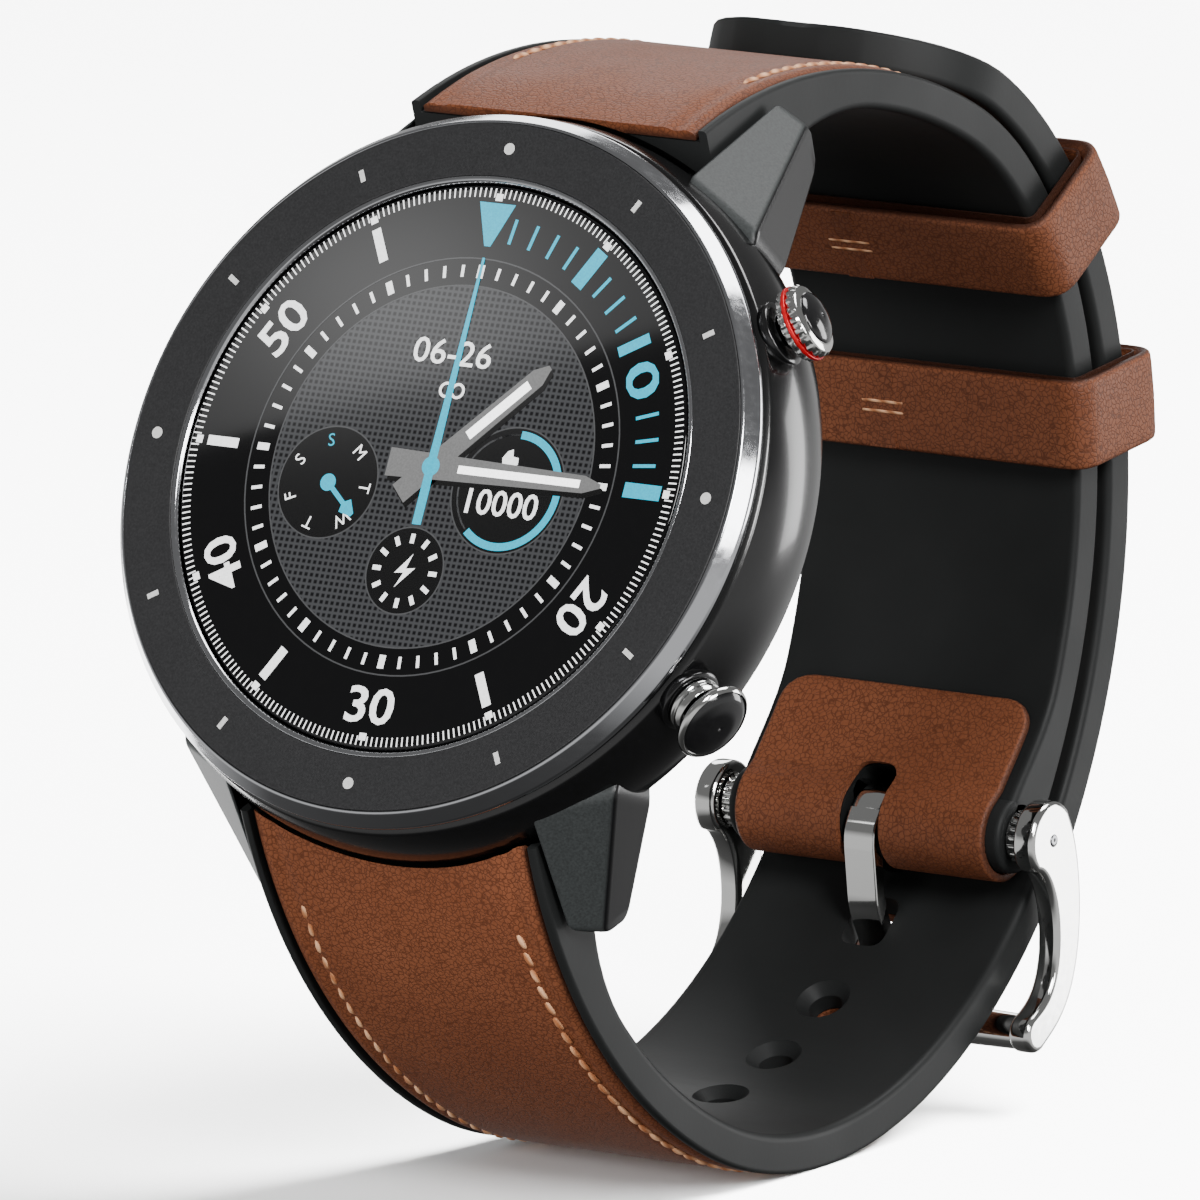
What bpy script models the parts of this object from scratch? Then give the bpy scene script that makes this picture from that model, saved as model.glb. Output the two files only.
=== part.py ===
"""Round smartwatch on a buckled leather and rubber strap.

Lengths below are millimetres in the watch's own axes: X towards 3 o'clock, Y towards 12 o'clock,
Z out of the dial, with the top of the bezel at Z = 0. The watch_frame empty leans the dial back
by LEAN and puts the centre of the strap's loop, where the wrist goes, at the origin.
"""

import math

import bmesh
import bpy
import numpy as np
from mathutils import Matrix, Vector

MM = 0.001

# Pose: how far the dial leans back from upright, in degrees.
LEAN = 25.4

# Case
CASE_RADIUS = 23.35
CASE_TOP = -1.65
CASE_WAIST = -5.0
CASE_BOTTOM = -10.0
CASE_BORE = 20.3
SEAT_BORE = 18.1
SEAT_DEPTH = -2.15
BACK_FACE = -11.2
LUG_INNER = 11.2
LUG_REACH_TOP = 27.6
LUG_REACH_BOTTOM = 25.3
BEZEL_OUTER = 22.65
BEZEL_INNER = 18.25
BUTTON_HEIGHT = -3.8
BUTTON_ANGLE = 30.0
BOSS_RADIUS = 18.9

# Strap loop: an oval about the wrist's centre, with its own half axes in each quarter.
WRIST_Y, WRIST_Z = 1.0, -33.2
BUCKLE_SIDE = {"right": 32.5, "left": 32.0, "back": 26.35, "front": 38.0}
TAIL_SIDE = {"right": 35.4, "left": 33.25, "back": 30.2, "front": 36.0}
BUCKLE_SIDE_ANGLES = (48.0, -101.0)
TAIL_SIDE_ANGLES = (131.0, 370.3)
STRAP_THICKNESS = 2.5
STRAP_WIDTH_LUG = 21.8
STRAP_WIDTH_END = 20.4
TAPER_LENGTH = 45.0
TRAY_INSET = 0.6
LEATHER_INSET = 0.9
LEATHER_DEPTH = 0.8
LUG_SWELL = 3.2
LUG_SWELL_LENGTH = 14.0
LUG_LEAD = 5.2  # from the buckle strap's end at the case to its lug bar
TAIL_LEAD = 2.4  # the same for the tail strap
LUG_BAR_TOP = (25.0, -11.6)
LUG_BAR_BOTTOM = (-22.8, -12.0)
HOLE_PITCH = 6.4
FIRST_HOLE_Y = -13.0
HOLES_TO_LUG, HOLES_TO_TIP = 3, 3
TIP_LENGTH = 9.0

# Buckle
BUCKLE_BAR = (-5.6, -58.2)
BARREL_RADIUS = 2.4
WRAP_THICKNESS = 0.5
CROSSBAR = (-17.2, -61.9)
ARM_INNER, ARM_OUTER = 11.2, 12.8
TANG_WIDTH = 2.3

# Keepers, by their angle on the strap loop
KEEPER_ANGLES = {"keeper_upper": -27.0, "keeper_lower": -52.3}
KEEPER_WIDTH = 5.8
KEEPER_THICKNESS = 1.2
KEEPER_CLEARANCE = 0.4

BLACK, GRAPHITE = (0.008, 0.008, 0.009), (0.065, 0.068, 0.07)
FINISHES = {
    "gloss_black": (BLACK, 0.16, 0.6),
    "matte_grey": (GRAPHITE, 0.55, 0.5),
    "steel": ((0.62, 0.62, 0.61), 0.12, 1.0),
    "red": ((0.55, 0.01, 0.015), 0.3, 0.0),
    "glass": ((0.02, 0.02, 0.025), 0.03, 0.0),
    "rubber": ((0.022, 0.023, 0.023), 0.6, 0.0),
    "leather": ((0.21, 0.08, 0.045), 0.55, 0.0),
    "plastic": ((0.03, 0.03, 0.033), 0.5, 0.0),
    "board": ((0.01, 0.09, 0.04), 0.4, 0.0),
    "foil": ((0.45, 0.45, 0.47), 0.35, 0.9),
    "gold": ((0.8, 0.55, 0.2), 0.25, 1.0),
    "amber": ((0.45, 0.2, 0.03), 0.4, 0.0),
}


# ---------------------------------------------------------------- scene helpers


def clear_scene():
    for obj in list(bpy.data.objects):
        bpy.data.objects.remove(obj, do_unlink=True)


def new_collection(name):
    collection = bpy.data.collections.new(name)
    bpy.context.scene.collection.children.link(collection)
    return collection


def finish_material(name):
    material = bpy.data.materials.get(name)
    if material:
        return material
    colour, roughness, metallic = FINISHES[name]
    material = bpy.data.materials.new(name)
    material.use_nodes = True
    shader = material.node_tree.nodes["Principled BSDF"]
    shader.inputs["Base Color"].default_value = (*colour, 1.0)
    shader.inputs["Roughness"].default_value = roughness
    shader.inputs["Metallic"].default_value = metallic
    return material


def axis_empty(name, location, rotation=(0.0, 0.0, 0.0), parent=None):
    """An empty on a joint's axis, or on the watch's own centre."""
    empty = bpy.data.objects.new(name, None)
    empty.location = Vector(location) * MM
    empty.rotation_euler = [math.radians(angle) for angle in rotation]
    empty.parent = parent
    PARTS.objects.link(empty)
    return empty


def node_from_mesh(name, mesh, finish, parent):
    obj = bpy.data.objects.new(name, mesh)
    obj.parent = parent
    mesh.materials.append(finish_material(finish))
    PARTS.objects.link(obj)
    return obj


def mesh_from_bmesh(name, bm, smooth_angle=35.0):
    """Writes a bmesh drawn in millimetres as a mesh in metres."""
    bmesh.ops.scale(bm, vec=(MM, MM, MM), verts=bm.verts)
    bmesh.ops.recalc_face_normals(bm, faces=bm.faces)
    mesh = bpy.data.meshes.new(name)
    bm.to_mesh(mesh)
    bm.free()
    mesh.shade_smooth()
    mesh.set_sharp_from_angle(angle=math.radians(smooth_angle))
    return mesh


def as_cutter(obj):
    PARTS.objects.unlink(obj)
    CUTTERS.objects.link(obj)
    obj.hide_render = True
    obj.display_type = "WIRE"
    return obj


def boolean(obj, other, operation="DIFFERENCE"):
    """Cuts or joins with the exact solver, and files the other shape as a helper."""
    modifier = obj.modifiers.new(f"{operation.lower()} {other.name}", "BOOLEAN")
    modifier.operation = operation
    modifier.solver = "EXACT"
    modifier.object = other
    if other.name in PARTS.objects:
        as_cutter(other)


# ---------------------------------------------------------------- shapes


def box(name, centre, size, finish, parent, bevel=0.0):
    bm = bmesh.new()
    bmesh.ops.create_cube(bm, size=1.0)
    bmesh.ops.scale(bm, vec=size, verts=bm.verts)
    bmesh.ops.translate(bm, vec=centre, verts=bm.verts)
    obj = node_from_mesh(name, mesh_from_bmesh(name, bm), finish, parent)
    if bevel:
        modifier = obj.modifiers.new("rounded edges", "BEVEL")
        modifier.width = bevel * MM
        modifier.segments = 2
    return obj


def rod(name, start, end, radius, finish, parent, sides=20):
    """A cylinder between two points."""
    start, end = Vector(start), Vector(end)
    bm = bmesh.new()
    bmesh.ops.create_cone(
        bm, cap_ends=True, segments=sides, radius1=radius, radius2=radius,
        depth=(end - start).length,
    )
    turn = (end - start).to_track_quat("Z", "Y").to_matrix().to_4x4()
    bmesh.ops.transform(bm, matrix=Matrix.Translation((start + end) / 2) @ turn, verts=bm.verts)
    return node_from_mesh(name, mesh_from_bmesh(name, bm), finish, parent)


def turned(name, profile, finish, parent, sides=48):
    """A profile of (radius, height) points turned about Z. It runs down the outer side."""
    mesh = bpy.data.meshes.new(name)
    points = [(radius * MM, 0.0, height * MM) for radius, height in profile]
    edges = [(i, i + 1) for i in range(len(points) - 1)]
    if profile[0][0] > 0:
        edges.append((len(points) - 1, 0))
    mesh.from_pydata(points, edges, [])
    obj = node_from_mesh(name, mesh, finish, parent)
    screw = obj.modifiers.new("turned", "SCREW")
    screw.steps = screw.render_steps = sides
    screw.use_merge_vertices = True
    screw.merge_threshold = 1e-6
    return obj


def ring_profile(inner, outer, top, bottom):
    return [(outer, top), (outer, bottom), (inner, bottom), (inner, top)]


def loft(name, sections, finish, parent, closed=False):
    """Joins rings of points, each a row of (x, y, z), into one closed skin."""
    bm = bmesh.new()
    rings = [[bm.verts.new(point) for point in section] for section in sections]
    pairs = list(zip(rings[:-1], rings[1:]))
    if closed:
        pairs.append((rings[-1], rings[0]))
    for first, second in pairs:
        for i, vertex in enumerate(first):
            after = (i + 1) % len(first)
            bm.faces.new((vertex, first[after], second[after], second[i]))
    if not closed:
        bm.faces.new(rings[0])
        bm.faces.new(rings[-1])
    bmesh.ops.remove_doubles(bm, verts=bm.verts, dist=1e-4)
    return node_from_mesh(name, mesh_from_bmesh(name, bm), finish, parent)


def plate(name, outline, x_low, x_high, finish, parent):
    """A flat outline of (y, z) points, drawn out along X."""
    sections = [[(x, y, z) for y, z in outline] for x in (x_low, x_high)]
    return loft(name, sections, finish, parent)


def hull(name, points, finish, parent):
    bm = bmesh.new()
    for point in points:
        bm.verts.new(point)
    bmesh.ops.convex_hull(bm, input=bm.verts)
    return node_from_mesh(name, mesh_from_bmesh(name, bm), finish, parent)


# ---------------------------------------------------------------- the strap's route

def oval(angle, side):
    """A point of the strap's oval, in (y, z), at an angle from 12 o'clock towards the dial."""
    cosine, sine = math.cos(math.radians(angle)), math.sin(math.radians(angle))
    y_axis = side["right"] if cosine > 0 else side["left"]
    z_axis = side["front"] if sine > 0 else side["back"]
    return np.array([WRIST_Y + y_axis * cosine, WRIST_Z + z_axis * sine])


class Route:
    """The mid-line of one strap: points, outward normals and distance along it."""

    def __init__(self, angles, side, count):
        steps = np.linspace(angles[0], angles[1], count)
        self.mid = np.array([oval(angle, side) for angle in steps])
        tangent = np.gradient(self.mid, axis=0)
        tangent /= np.linalg.norm(tangent, axis=1)[:, None]
        normal = np.stack([tangent[:, 1], -tangent[:, 0]], axis=1)
        outward = np.sign(((self.mid - (WRIST_Y, WRIST_Z)) * normal).sum(axis=1))
        self.normal = normal * outward[:, None]
        steps_mm = np.linalg.norm(np.diff(self.mid, axis=0), axis=1)
        self.along = np.concatenate([[0.0], np.cumsum(steps_mm)])

    def at(self, distance):
        """Point and normal at a distance from the lug."""
        columns = np.concatenate([self.mid, self.normal], axis=1)
        row = [np.interp(distance, self.along, columns[:, i]) for i in range(4)]
        return np.array(row[:2]), np.array(row[2:])


def half_width(along):
    taper = min(along / TAPER_LENGTH, 1.0)
    return (STRAP_WIDTH_LUG + (STRAP_WIDTH_END - STRAP_WIDTH_LUG) * taper) / 2


def lug_swell(along):
    """The strap is thicker on its inner side where it holds the lug bar."""
    return LUG_SWELL * max(0.0, 1.0 - max(along, 0.0) / LUG_SWELL_LENGTH) ** 2


def strip(name, route, distances, section, finish):
    """A strip along a route. At each distance the section lists its corners as (x, offset)."""
    rows = []
    for along in distances:
        point, normal = route.at(along)
        rows.append([(x, *(point + normal * offset)) for x, offset in section(along)])
    return loft(name, rows, finish, WATCH)


# ---------------------------------------------------------------- case


def case_outline():
    """Radius against height of the barrel side, a shallow arc about its waist."""
    heights = np.linspace(CASE_TOP, -8.4, 8)
    bulge = 0.65 / (CASE_WAIST - CASE_TOP) ** 2
    side = [(CASE_RADIUS - bulge * (z - CASE_WAIST) ** 2, z) for z in heights]
    return side + [(21.9, -9.5), (21.0, CASE_BOTTOM)]


def lug_points(side, end):
    """One lug as the corners of its hull: a facet that slopes away from the bezel in three ways."""
    reach = LUG_REACH_TOP if end > 0 else LUG_REACH_BOTTOM
    stretch = (reach - 18.0) / (27.6 - 18.0)
    corners = [
        (0.0, 20.5, -3.0), (0.0, 27.6, -10.2), (1.5, 26.8, -12.0), (4.8, 17.8, -4.6),
        (0.0, 26.6, -13.2), (1.4, 24.3, -14.3), (0.0, 22.0, -14.5), (4.2, 17.0, -9.6),
        (0.0, 15.0, -3.6), (4.4, 14.0, -4.8), (0.0, 15.0, -6.2),
    ]
    points = []
    for x, y, z in corners:
        y = 18.0 + (y - 18.0) * stretch if y > 18.0 else y
        points.append((side * (LUG_INNER + x), end * y, z))
    return points


def make_case_body():
    outline = [(0.0, CASE_TOP)] + case_outline() + [(0.0, CASE_BOTTOM)]
    body = turned("case_body", outline, "gloss_black", WATCH, sides=60)
    for side in (1, -1):
        for end in (1, -1):
            lug = hull(f"lug_{side}_{end}", lug_points(side, end), "matte_grey", WATCH)
            boolean(body, lug, "UNION")
    bore = [(0.0, 1.0), (SEAT_BORE, 1.0), (SEAT_BORE, SEAT_DEPTH), (CASE_BORE, SEAT_DEPTH),
            (CASE_BORE, -12.0), (0.0, -12.0)]
    cutter = turned("case_bore", bore, "plastic", WATCH, sides=60)
    cutter.rotation_euler.z = math.radians(3.0)
    for index, (x, y) in enumerate(boss_places()):
        ends = ((x, y, -7.4), (x, y, CASE_BOTTOM))
        boolean(cutter, rod(f"boss_{index}", *ends, 1.75, "plastic", WATCH))
    boolean(body, cutter)
    for index, (x, y) in enumerate(boss_places()):
        ends = ((x, y, -7.9), (x, y, -11.0))
        boolean(body, rod(f"boss_hole_{index}", *ends, 0.8, "plastic", WATCH, 12))
    for empty in (CROWN_AXIS, PUSHER_AXIS):
        boolean(body, rod(f"{empty.name}_hole", (0, 0, -5.0), (0, 0, 1.0), 1.1, "plastic", empty))
    for y, z in (LUG_BAR_TOP, LUG_BAR_BOTTOM):
        ends = ((-12.4, y, z), (12.4, y, z))
        boolean(body, rod(f"lug_hole_{y}", *ends, 0.6, "plastic", WATCH, 12))


def boss_places():
    angles = [math.radians(45 + 90 * i) for i in range(4)]
    return [(BOSS_RADIUS * math.cos(a), BOSS_RADIUS * math.sin(a)) for a in angles]


def make_bezel_and_glass():
    bezel = [(BEZEL_INNER + 0.2, 0.0), (21.8, 0.0), (BEZEL_OUTER, -1.0), (BEZEL_OUTER, -1.35),
             (BEZEL_INNER, -1.35), (BEZEL_INNER, -0.3)]
    turned("bezel_ring", bezel, "matte_grey", WATCH, sides=60)
    glass = [(0.0, -0.25), (17.6, -0.25), (17.95, -0.45), (17.95, -1.35), (0.0, -1.35)]
    turned("cover_glass", glass, "glass", WATCH, sides=60)
    turned("glass_gasket", ring_profile(17.2, 17.9, -1.45, -1.65), "plastic", WATCH)
    display = [(0.0, -1.75), (17.6, -1.75), (17.6, -2.5), (0.0, -2.5)]
    turned("display_panel", display, "glass", WATCH)


def make_inner_parts():
    mid = turned("mid_frame", [(0.0, -3.1), (16.6, -3.1), (16.6, -3.8), (0.0, -3.8)], "plastic", WATCH)
    for empty in (CROWN_AXIS, PUSHER_AXIS):
        boolean(mid, box(f"{empty.name}_notch", (0, 0, -6.4), (3.4, 5.0, 6.0), "plastic", empty))
    boolean(mid, box("flex_notch", (0, 16.0, -3.5), (7.4, 2.4, 2.0), "plastic", WATCH))
    box("display_flex", (0, 15.5, -3.92), (6.0, 0.25, 2.6), "amber", WATCH)
    box("battery", (-8.6, 0, -6.4), (14.6, 22.0, 4.2), "foil", WATCH, bevel=0.8)
    board = turned("main_board", [(0.0, -5.35), (19.4, -5.35), (19.4, -6.15), (0.0, -6.15)], "board", WATCH)
    boolean(board, box("board_cut", (-20.5, 0, -5.7), (40.0, 44.0, 4.0), "plastic", WATCH))
    box("shield_can", (8.5, 0.5, -7.2), (10.0, 9.0, 1.6), "foil", WATCH, bevel=0.25)
    rod("vibration_motor", (7.5, -10.5, -8.8), (7.5, -10.5, -6.4), 4.0, "foil", WATCH, 32)
    box("speaker", (7.3, 10.3, -7.5), (7.6, 5.0, 2.3), "plastic", WATCH, bevel=0.5)
    rod("sensor_board", (0, 0, -9.7), (0, 0, -9.0), 7.2, "board", WATCH, 32)


def make_case_back():
    rim = [(8.3, -10.2), (20.8, -10.2), (20.8, -10.8), (20.3, BACK_FACE), (8.3, BACK_FACE)]
    back = turned("case_back", rim, "plastic", WATCH, sides=60)
    for index, (x, y) in enumerate(boss_places()):
        boolean(back, rod(f"back_hole_{index}", (x, y, -9.0), (x, y, -12.0), 0.8, "plastic", WATCH, 12))
        boolean(back, rod(f"back_sink_{index}", (x, y, -10.75), (x, y, -12.0), 1.35, "plastic", WATCH, 16))
        head = [(0.0, -8.3), (0.6, -8.3), (0.6, -10.85), (1.15, -10.85), (1.15, -11.15), (0.0, -11.15)]
        seat = axis_empty(f"screw_axis_{index + 1}", (x, y, 0.0), parent=WATCH)
        turned(f"back_screw_{index + 1}", head, "steel", seat, sides=16)
    for index, y in enumerate((-12.5, 12.5)):
        boolean(back, rod(f"pin_hole_{index}", (0, y, -9.0), (0, y, -12.0), 1.05, "plastic", WATCH, 16))
        rod(f"charge_pin_{index + 1}", (0, y, -11.35), (0, y, -9.9), 0.85, "gold", WATCH, 16)
    turned("back_gasket", ring_profile(20.35, 20.8, -10.04, -10.16), "rubber", WATCH)
    window = [(0.0, -10.1), (8.0, -10.1), (8.0, -11.2), (6.8, -11.8), (4.0, -12.1), (0.0, -12.2)]
    turned("sensor_window", window, "glass", WATCH, sides=40)


# ---------------------------------------------------------------- crown and pusher


def make_switch(name, empty):
    body = box(name, (0, 0, -7.9), (2.2, 3.4, 1.5), "plastic", empty)
    boolean(body, rod(f"{name}_dome", (0, 0, -7.3), (0, 0, -6.95), 0.7, "foil", empty, 16), "UNION")


def seal_ring(name, empty):
    angles = np.radians(np.arange(0, 360, 45))
    section = [(1.22 + 0.25 * math.cos(a), -3.5 - 0.25 * math.sin(a)) for a in angles]
    turned(name, section, "rubber", empty, sides=20)


def make_crown():
    knob = [(0.0, 2.35), (1.75, 2.35), (2.15, 2.2), (2.32, 1.95), (2.32, 1.6), (2.05, 1.57), (2.05, 1.28),
            (2.32, 1.25), (2.32, 0.95), (2.1, 0.75), (1.2, 0.75), (1.2, 1.55), (0.0, 1.55)]
    turned("crown_knob", knob, "steel", CROWN_AXIS, sides=36)
    turned("crown_ring", ring_profile(2.1, 2.4, 1.55, 1.3), "red", CROWN_AXIS, sides=36)
    cap = [(0.0, 2.8), (0.9, 2.74), (1.45, 2.6), (1.7, 2.42), (0.0, 2.42)]
    turned("crown_cap", cap, "foil", CROWN_AXIS, sides=28)
    rod("crown_stem", (0, 0, -5.4), (0, 0, 1.4), 0.85, "steel", CROWN_AXIS)
    seal_ring("crown_seal", CROWN_AXIS)
    rod("crown_plunger", (0, 0, -6.25), (0, 0, -5.65), 1.1, "steel", CROWN_AXIS)
    make_switch("crown_switch", CROWN_AXIS)


def make_pusher():
    cap = [(0.0, 3.0), (1.1, 2.93), (2.0, 2.65), (2.5, 2.2), (2.45, 1.95), (1.8, 1.75), (1.15, 1.75),
           (1.15, 2.4), (0.0, 2.4)]
    turned("pusher_cap", cap, "steel", PUSHER_AXIS, sides=36)
    turned("pusher_collar", ring_profile(1.2, 1.8, 1.2, 0.2), "steel", PUSHER_AXIS, sides=32)
    rod("pusher_stem", (0, 0, -6.2), (0, 0, 2.2), 0.85, "steel", PUSHER_AXIS)
    seal_ring("pusher_seal", PUSHER_AXIS)
    make_switch("pusher_switch", PUSHER_AXIS)


# ---------------------------------------------------------------- straps


def case_clearance(name):
    """The case's outline, 0.3 mm larger, that shapes the curved ends of the straps."""
    outline = [(0.0, 0.5), (23.7, 0.5)] + [(r + 0.32, z) for r, z in case_outline()]
    outline += [(21.3, -11.6), (0.0, -11.6)]
    return as_cutter(turned(name, outline, "plastic", WATCH, sides=60))


def make_lug_bar(name, place):
    y, z = place
    seat = axis_empty(f"{name}_axis", (0, y, z), (0, 90, 0), WATCH)
    outline = [(0.0, 12.1), (0.45, 12.1), (0.45, 10.9), (0.75, 10.9), (0.75, -10.9), (0.45, -10.9),
               (0.45, -12.1), (0.0, -12.1)]
    turned(name, outline, "steel", seat, sides=16)


def strap_rubber(name, route, half, inner, tray_end):
    """The rubber body, with a shallow tray in its outer face that stops at tray_end."""
    top = STRAP_THICKNESS / 2
    distances = sorted([*route.along, tray_end, tray_end + 0.3])

    def section(along):
        width, low = half(along, 0.0), inner(along)
        tray = half(along, TRAY_INSET)
        floor = top - LEATHER_DEPTH if along <= tray_end else top
        return [(-width, low), (width, low), (width, top), (tray, top), (tray, floor),
                (-tray, floor), (-tray, top), (-width, top)]

    return strip(name, route, distances, section, "rubber")


def strap_leather(name, route, half, tray_end, cutters):
    """The leather layer that lies in the tray."""
    top = STRAP_THICKNESS / 2
    end = tray_end - 0.3
    distances = [s for s in route.along if s < end - 0.3] + [end]

    def section(along):
        width, low = half(along, LEATHER_INSET), top - LEATHER_DEPTH + 0.12
        return [(-width, low), (width, low), (width, top), (-width, top)]

    leather = strip(name, route, distances, section, "leather")
    for cutter in cutters:
        boolean(leather, cutter)


def make_buckle_strap(clearance):
    route = Route(BUCKLE_SIDE_ANGLES, BUCKLE_SIDE, 32)
    length = route.along[-1]

    def half(along, inset):
        return half_width(along) - inset

    def inner(along):
        """Offset of the inner face: swollen at the lug bar, and rising to the barrel's top."""
        rise = min(max((along - length + 9.5) / 9.5, 0.0), 1.0)
        blend = rise * rise * (3 - 2 * rise)
        return -STRAP_THICKNESS / 2 - lug_swell(along - LUG_LEAD) - 1.35 * blend

    tray_end = length - 3.6
    rubber = strap_rubber("buckle_strap_rubber", route, half, inner, tray_end)
    y, z = BUCKLE_BAR
    width = STRAP_WIDTH_END / 2
    barrel = rod("barrel", (-width, y, z), (width, y, z), BARREL_RADIUS, "rubber", WATCH, 28)
    boolean(rubber, barrel, "UNION")
    boolean(rubber, clearance)
    tunnel = ((-12.0, *LUG_BAR_TOP), (12.0, *LUG_BAR_TOP))
    boolean(rubber, rod("lug_tunnel_top", *tunnel, 0.95, "plastic", WATCH, 16))
    boolean(rubber, rod("buckle_tunnel", (-12, y, z), (12, y, z), 1.15, "plastic", WATCH, 20))
    slot = as_cutter(box("tang_slot", (0, y - 0.4, z), (3.2, 7.2, 9.0), "plastic", WATCH))
    boolean(rubber, slot)
    strap_leather("buckle_strap_leather", route, half, tray_end, [clearance])
    make_buckle_wrap(route, inner, slot)


def make_buckle_wrap(route, inner, slot):
    """The leather that covers the inner face at the buckle and goes round the barrel."""
    y, z = BUCKLE_BAR
    low, high = [], []
    for back in (8.2, 6.6, 5.0, 3.6, 2.4, 1.5):
        along = route.along[-1] - back
        point, normal = route.at(along)
        low.append(point + normal * (inner(along) - 0.2))
        high.append(point + normal * (inner(along) - 0.2 - WRAP_THICKNESS))
    inside = BARREL_RADIUS + 0.12
    for turn in np.radians(np.linspace(62.0, 292.0, 15)):
        way = np.array((math.cos(turn), math.sin(turn)))
        low.append((y, z) + way * inside)
        high.append((y, z) + way * (inside + WRAP_THICKNESS))
    half = STRAP_WIDTH_END / 2 - LEATHER_INSET
    rows = [[(-half, *a), (half, *a), (half, *b), (-half, *b)] for a, b in zip(low, high)]
    wrap = loft("buckle_wrap_leather", rows, "leather", WATCH)
    boolean(wrap, slot)


def make_tail_strap(clearance):
    route = Route(TAIL_SIDE_ANGLES, TAIL_SIDE, 57)
    length = route.along[-1]

    def half(along, inset):
        """Half width, with an elliptical tip."""
        into_tip = max((along - length + TIP_LENGTH) / (TIP_LENGTH + 0.25 - inset), 0.0)
        return (half_width(along) - inset) * math.sqrt(max(1.0 - into_tip**2, 0.01))

    def inner(along):
        return -STRAP_THICKNESS / 2 - 1.35 * lug_swell(along - TAIL_LEAD)

    tray_end = length - 0.9
    rubber = strap_rubber("tail_strap_rubber", route, half, inner, tray_end)
    boolean(rubber, clearance)
    tunnel = ((-12.0, *LUG_BAR_BOTTOM), (12.0, *LUG_BAR_BOTTOM))
    boolean(rubber, rod("lug_tunnel_bottom", *tunnel, 0.95, "plastic", WATCH, 16))
    holes = tail_holes(route)
    for hole in holes:
        boolean(rubber, hole)
    strap_leather("tail_strap_leather", route, half, tray_end, [clearance, *holes])


def tail_holes(route):
    """Cutters for the adjusting holes. The one that the tang is in is pulled long."""
    behind = route.mid[:, 1] < WRIST_Z
    rows = np.nonzero(behind)[0]
    first = np.interp(FIRST_HOLE_Y, route.mid[rows, 0], route.along[rows])
    cutters = []
    for step in range(-HOLES_TO_LUG, HOLES_TO_TIP + 1):
        point, normal = route.at(first + step * HOLE_PITCH)
        start, end = point - normal * 4.0, point + normal * 4.0
        hole = rod(f"hole_{step}", (0, *start), (0, *end), 1.1, "plastic", WATCH, 16)
        cutters.append(as_cutter(hole))
    point, normal = route.at(first)
    along = np.array((normal[1], -normal[0]))
    outline = [point + along * a + normal * n for a, n in ((-2.5, -4), (1.3, -4), (1.3, 4), (-2.5, 4))]
    stretched = plate("hole_tang", outline, -1.55, 1.55, "plastic", WATCH)
    cutters[HOLES_TO_LUG] = as_cutter(stretched)
    return cutters


# ---------------------------------------------------------------- buckle and keepers


def make_buckle():
    y0, z0 = BUCKLE_BAR
    rod("buckle_bar", (-12.5, y0, z0), (12.5, y0, z0), 0.9, "steel", WATCH)
    centre_line = [(0.0, 0.0), (-2.7, -3.2), (-6.4, -4.9), (-9.4, -4.9),
                   (CROSSBAR[0] - y0, CROSSBAR[1] - z0)]
    half_heights = [2.5, 1.6, 1.3, 1.2, 1.25]
    outline = arm_outline(centre_line, half_heights)
    frame = plate("buckle_frame", outline, ARM_INNER, ARM_OUTER, "steel", BUCKLE_AXIS)
    other = plate("buckle_arm", outline, -ARM_OUTER, -ARM_INNER, "steel", BUCKLE_AXIS)
    boolean(frame, other, "UNION")
    y, z = centre_line[-1]
    reach = ARM_OUTER - 0.05
    crossbar = rod("crossbar", (-reach, y, z), (reach, y, z), 1.15, "steel", BUCKLE_AXIS, 16)
    boolean(frame, crossbar, "UNION")
    boolean(frame, rod("ear_holes", (-14, 0, 0), (14, 0, 0), 1.05, "plastic", BUCKLE_AXIS))
    make_tang()


def arm_outline(centre_line, half_heights):
    """The side view of a buckle arm: a smooth centre line with a half height at each point."""
    knots = np.array(centre_line)
    spots = np.linspace(0.0, 1.0, len(knots))
    fine = np.linspace(0.0, 1.0, 13)
    curve = np.stack([smooth_curve(spots, knots[:, i], fine) for i in range(2)], axis=1)
    half = smooth_curve(spots, np.array(half_heights), fine)
    tangent = np.gradient(curve, axis=0)
    tangent /= np.linalg.norm(tangent, axis=1)[:, None]
    normal = np.stack([-tangent[:, 1], tangent[:, 0]], axis=1)
    cap = []
    for turn in np.radians(np.arange(30.0, 151.0, 30.0)):
        cap.append(curve[0] + half[0] * (normal[0] * math.cos(turn) - tangent[0] * math.sin(turn)))
    upper = curve + normal * half[:, None]
    lower = curve - normal * half[:, None]
    return [tuple(p) for p in upper[::-1]] + [tuple(p) for p in cap] + [tuple(p) for p in lower]


def smooth_curve(spots, values, fine):
    """A polynomial through all the knots, one power per gap."""
    return np.polyval(np.polyfit(spots, values, len(spots) - 1), fine)


def make_tang():
    """The pin: an eye on the buckle bar, and a flat arm that goes out through the tail's hole."""
    top = [(0.0, 2.85), (-1.6, 2.55), (-5.9, -0.35), (-7.6, -2.6), (-9.2, -3.55)]
    under = [(0.0, 1.75), (-1.2, 1.45), (-5.4, -1.2), (-7.0, -3.4), (-8.9, -4.45)]
    outline = top + under[::-1]
    arm = plate("buckle_tang", outline, -TANG_WIDTH / 2, TANG_WIDTH / 2, "steel", TANG_AXIS)
    width = TANG_WIDTH / 2
    eye = rod("tang_eye", (-width, 0, 0), (width, 0, 0), 2.1, "steel", TANG_AXIS, 24)
    boolean(arm, eye, "UNION")
    boolean(arm, rod("tang_hole", (-3, 0, 0), (3, 0, 0), 1.05, "plastic", TANG_AXIS))


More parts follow.
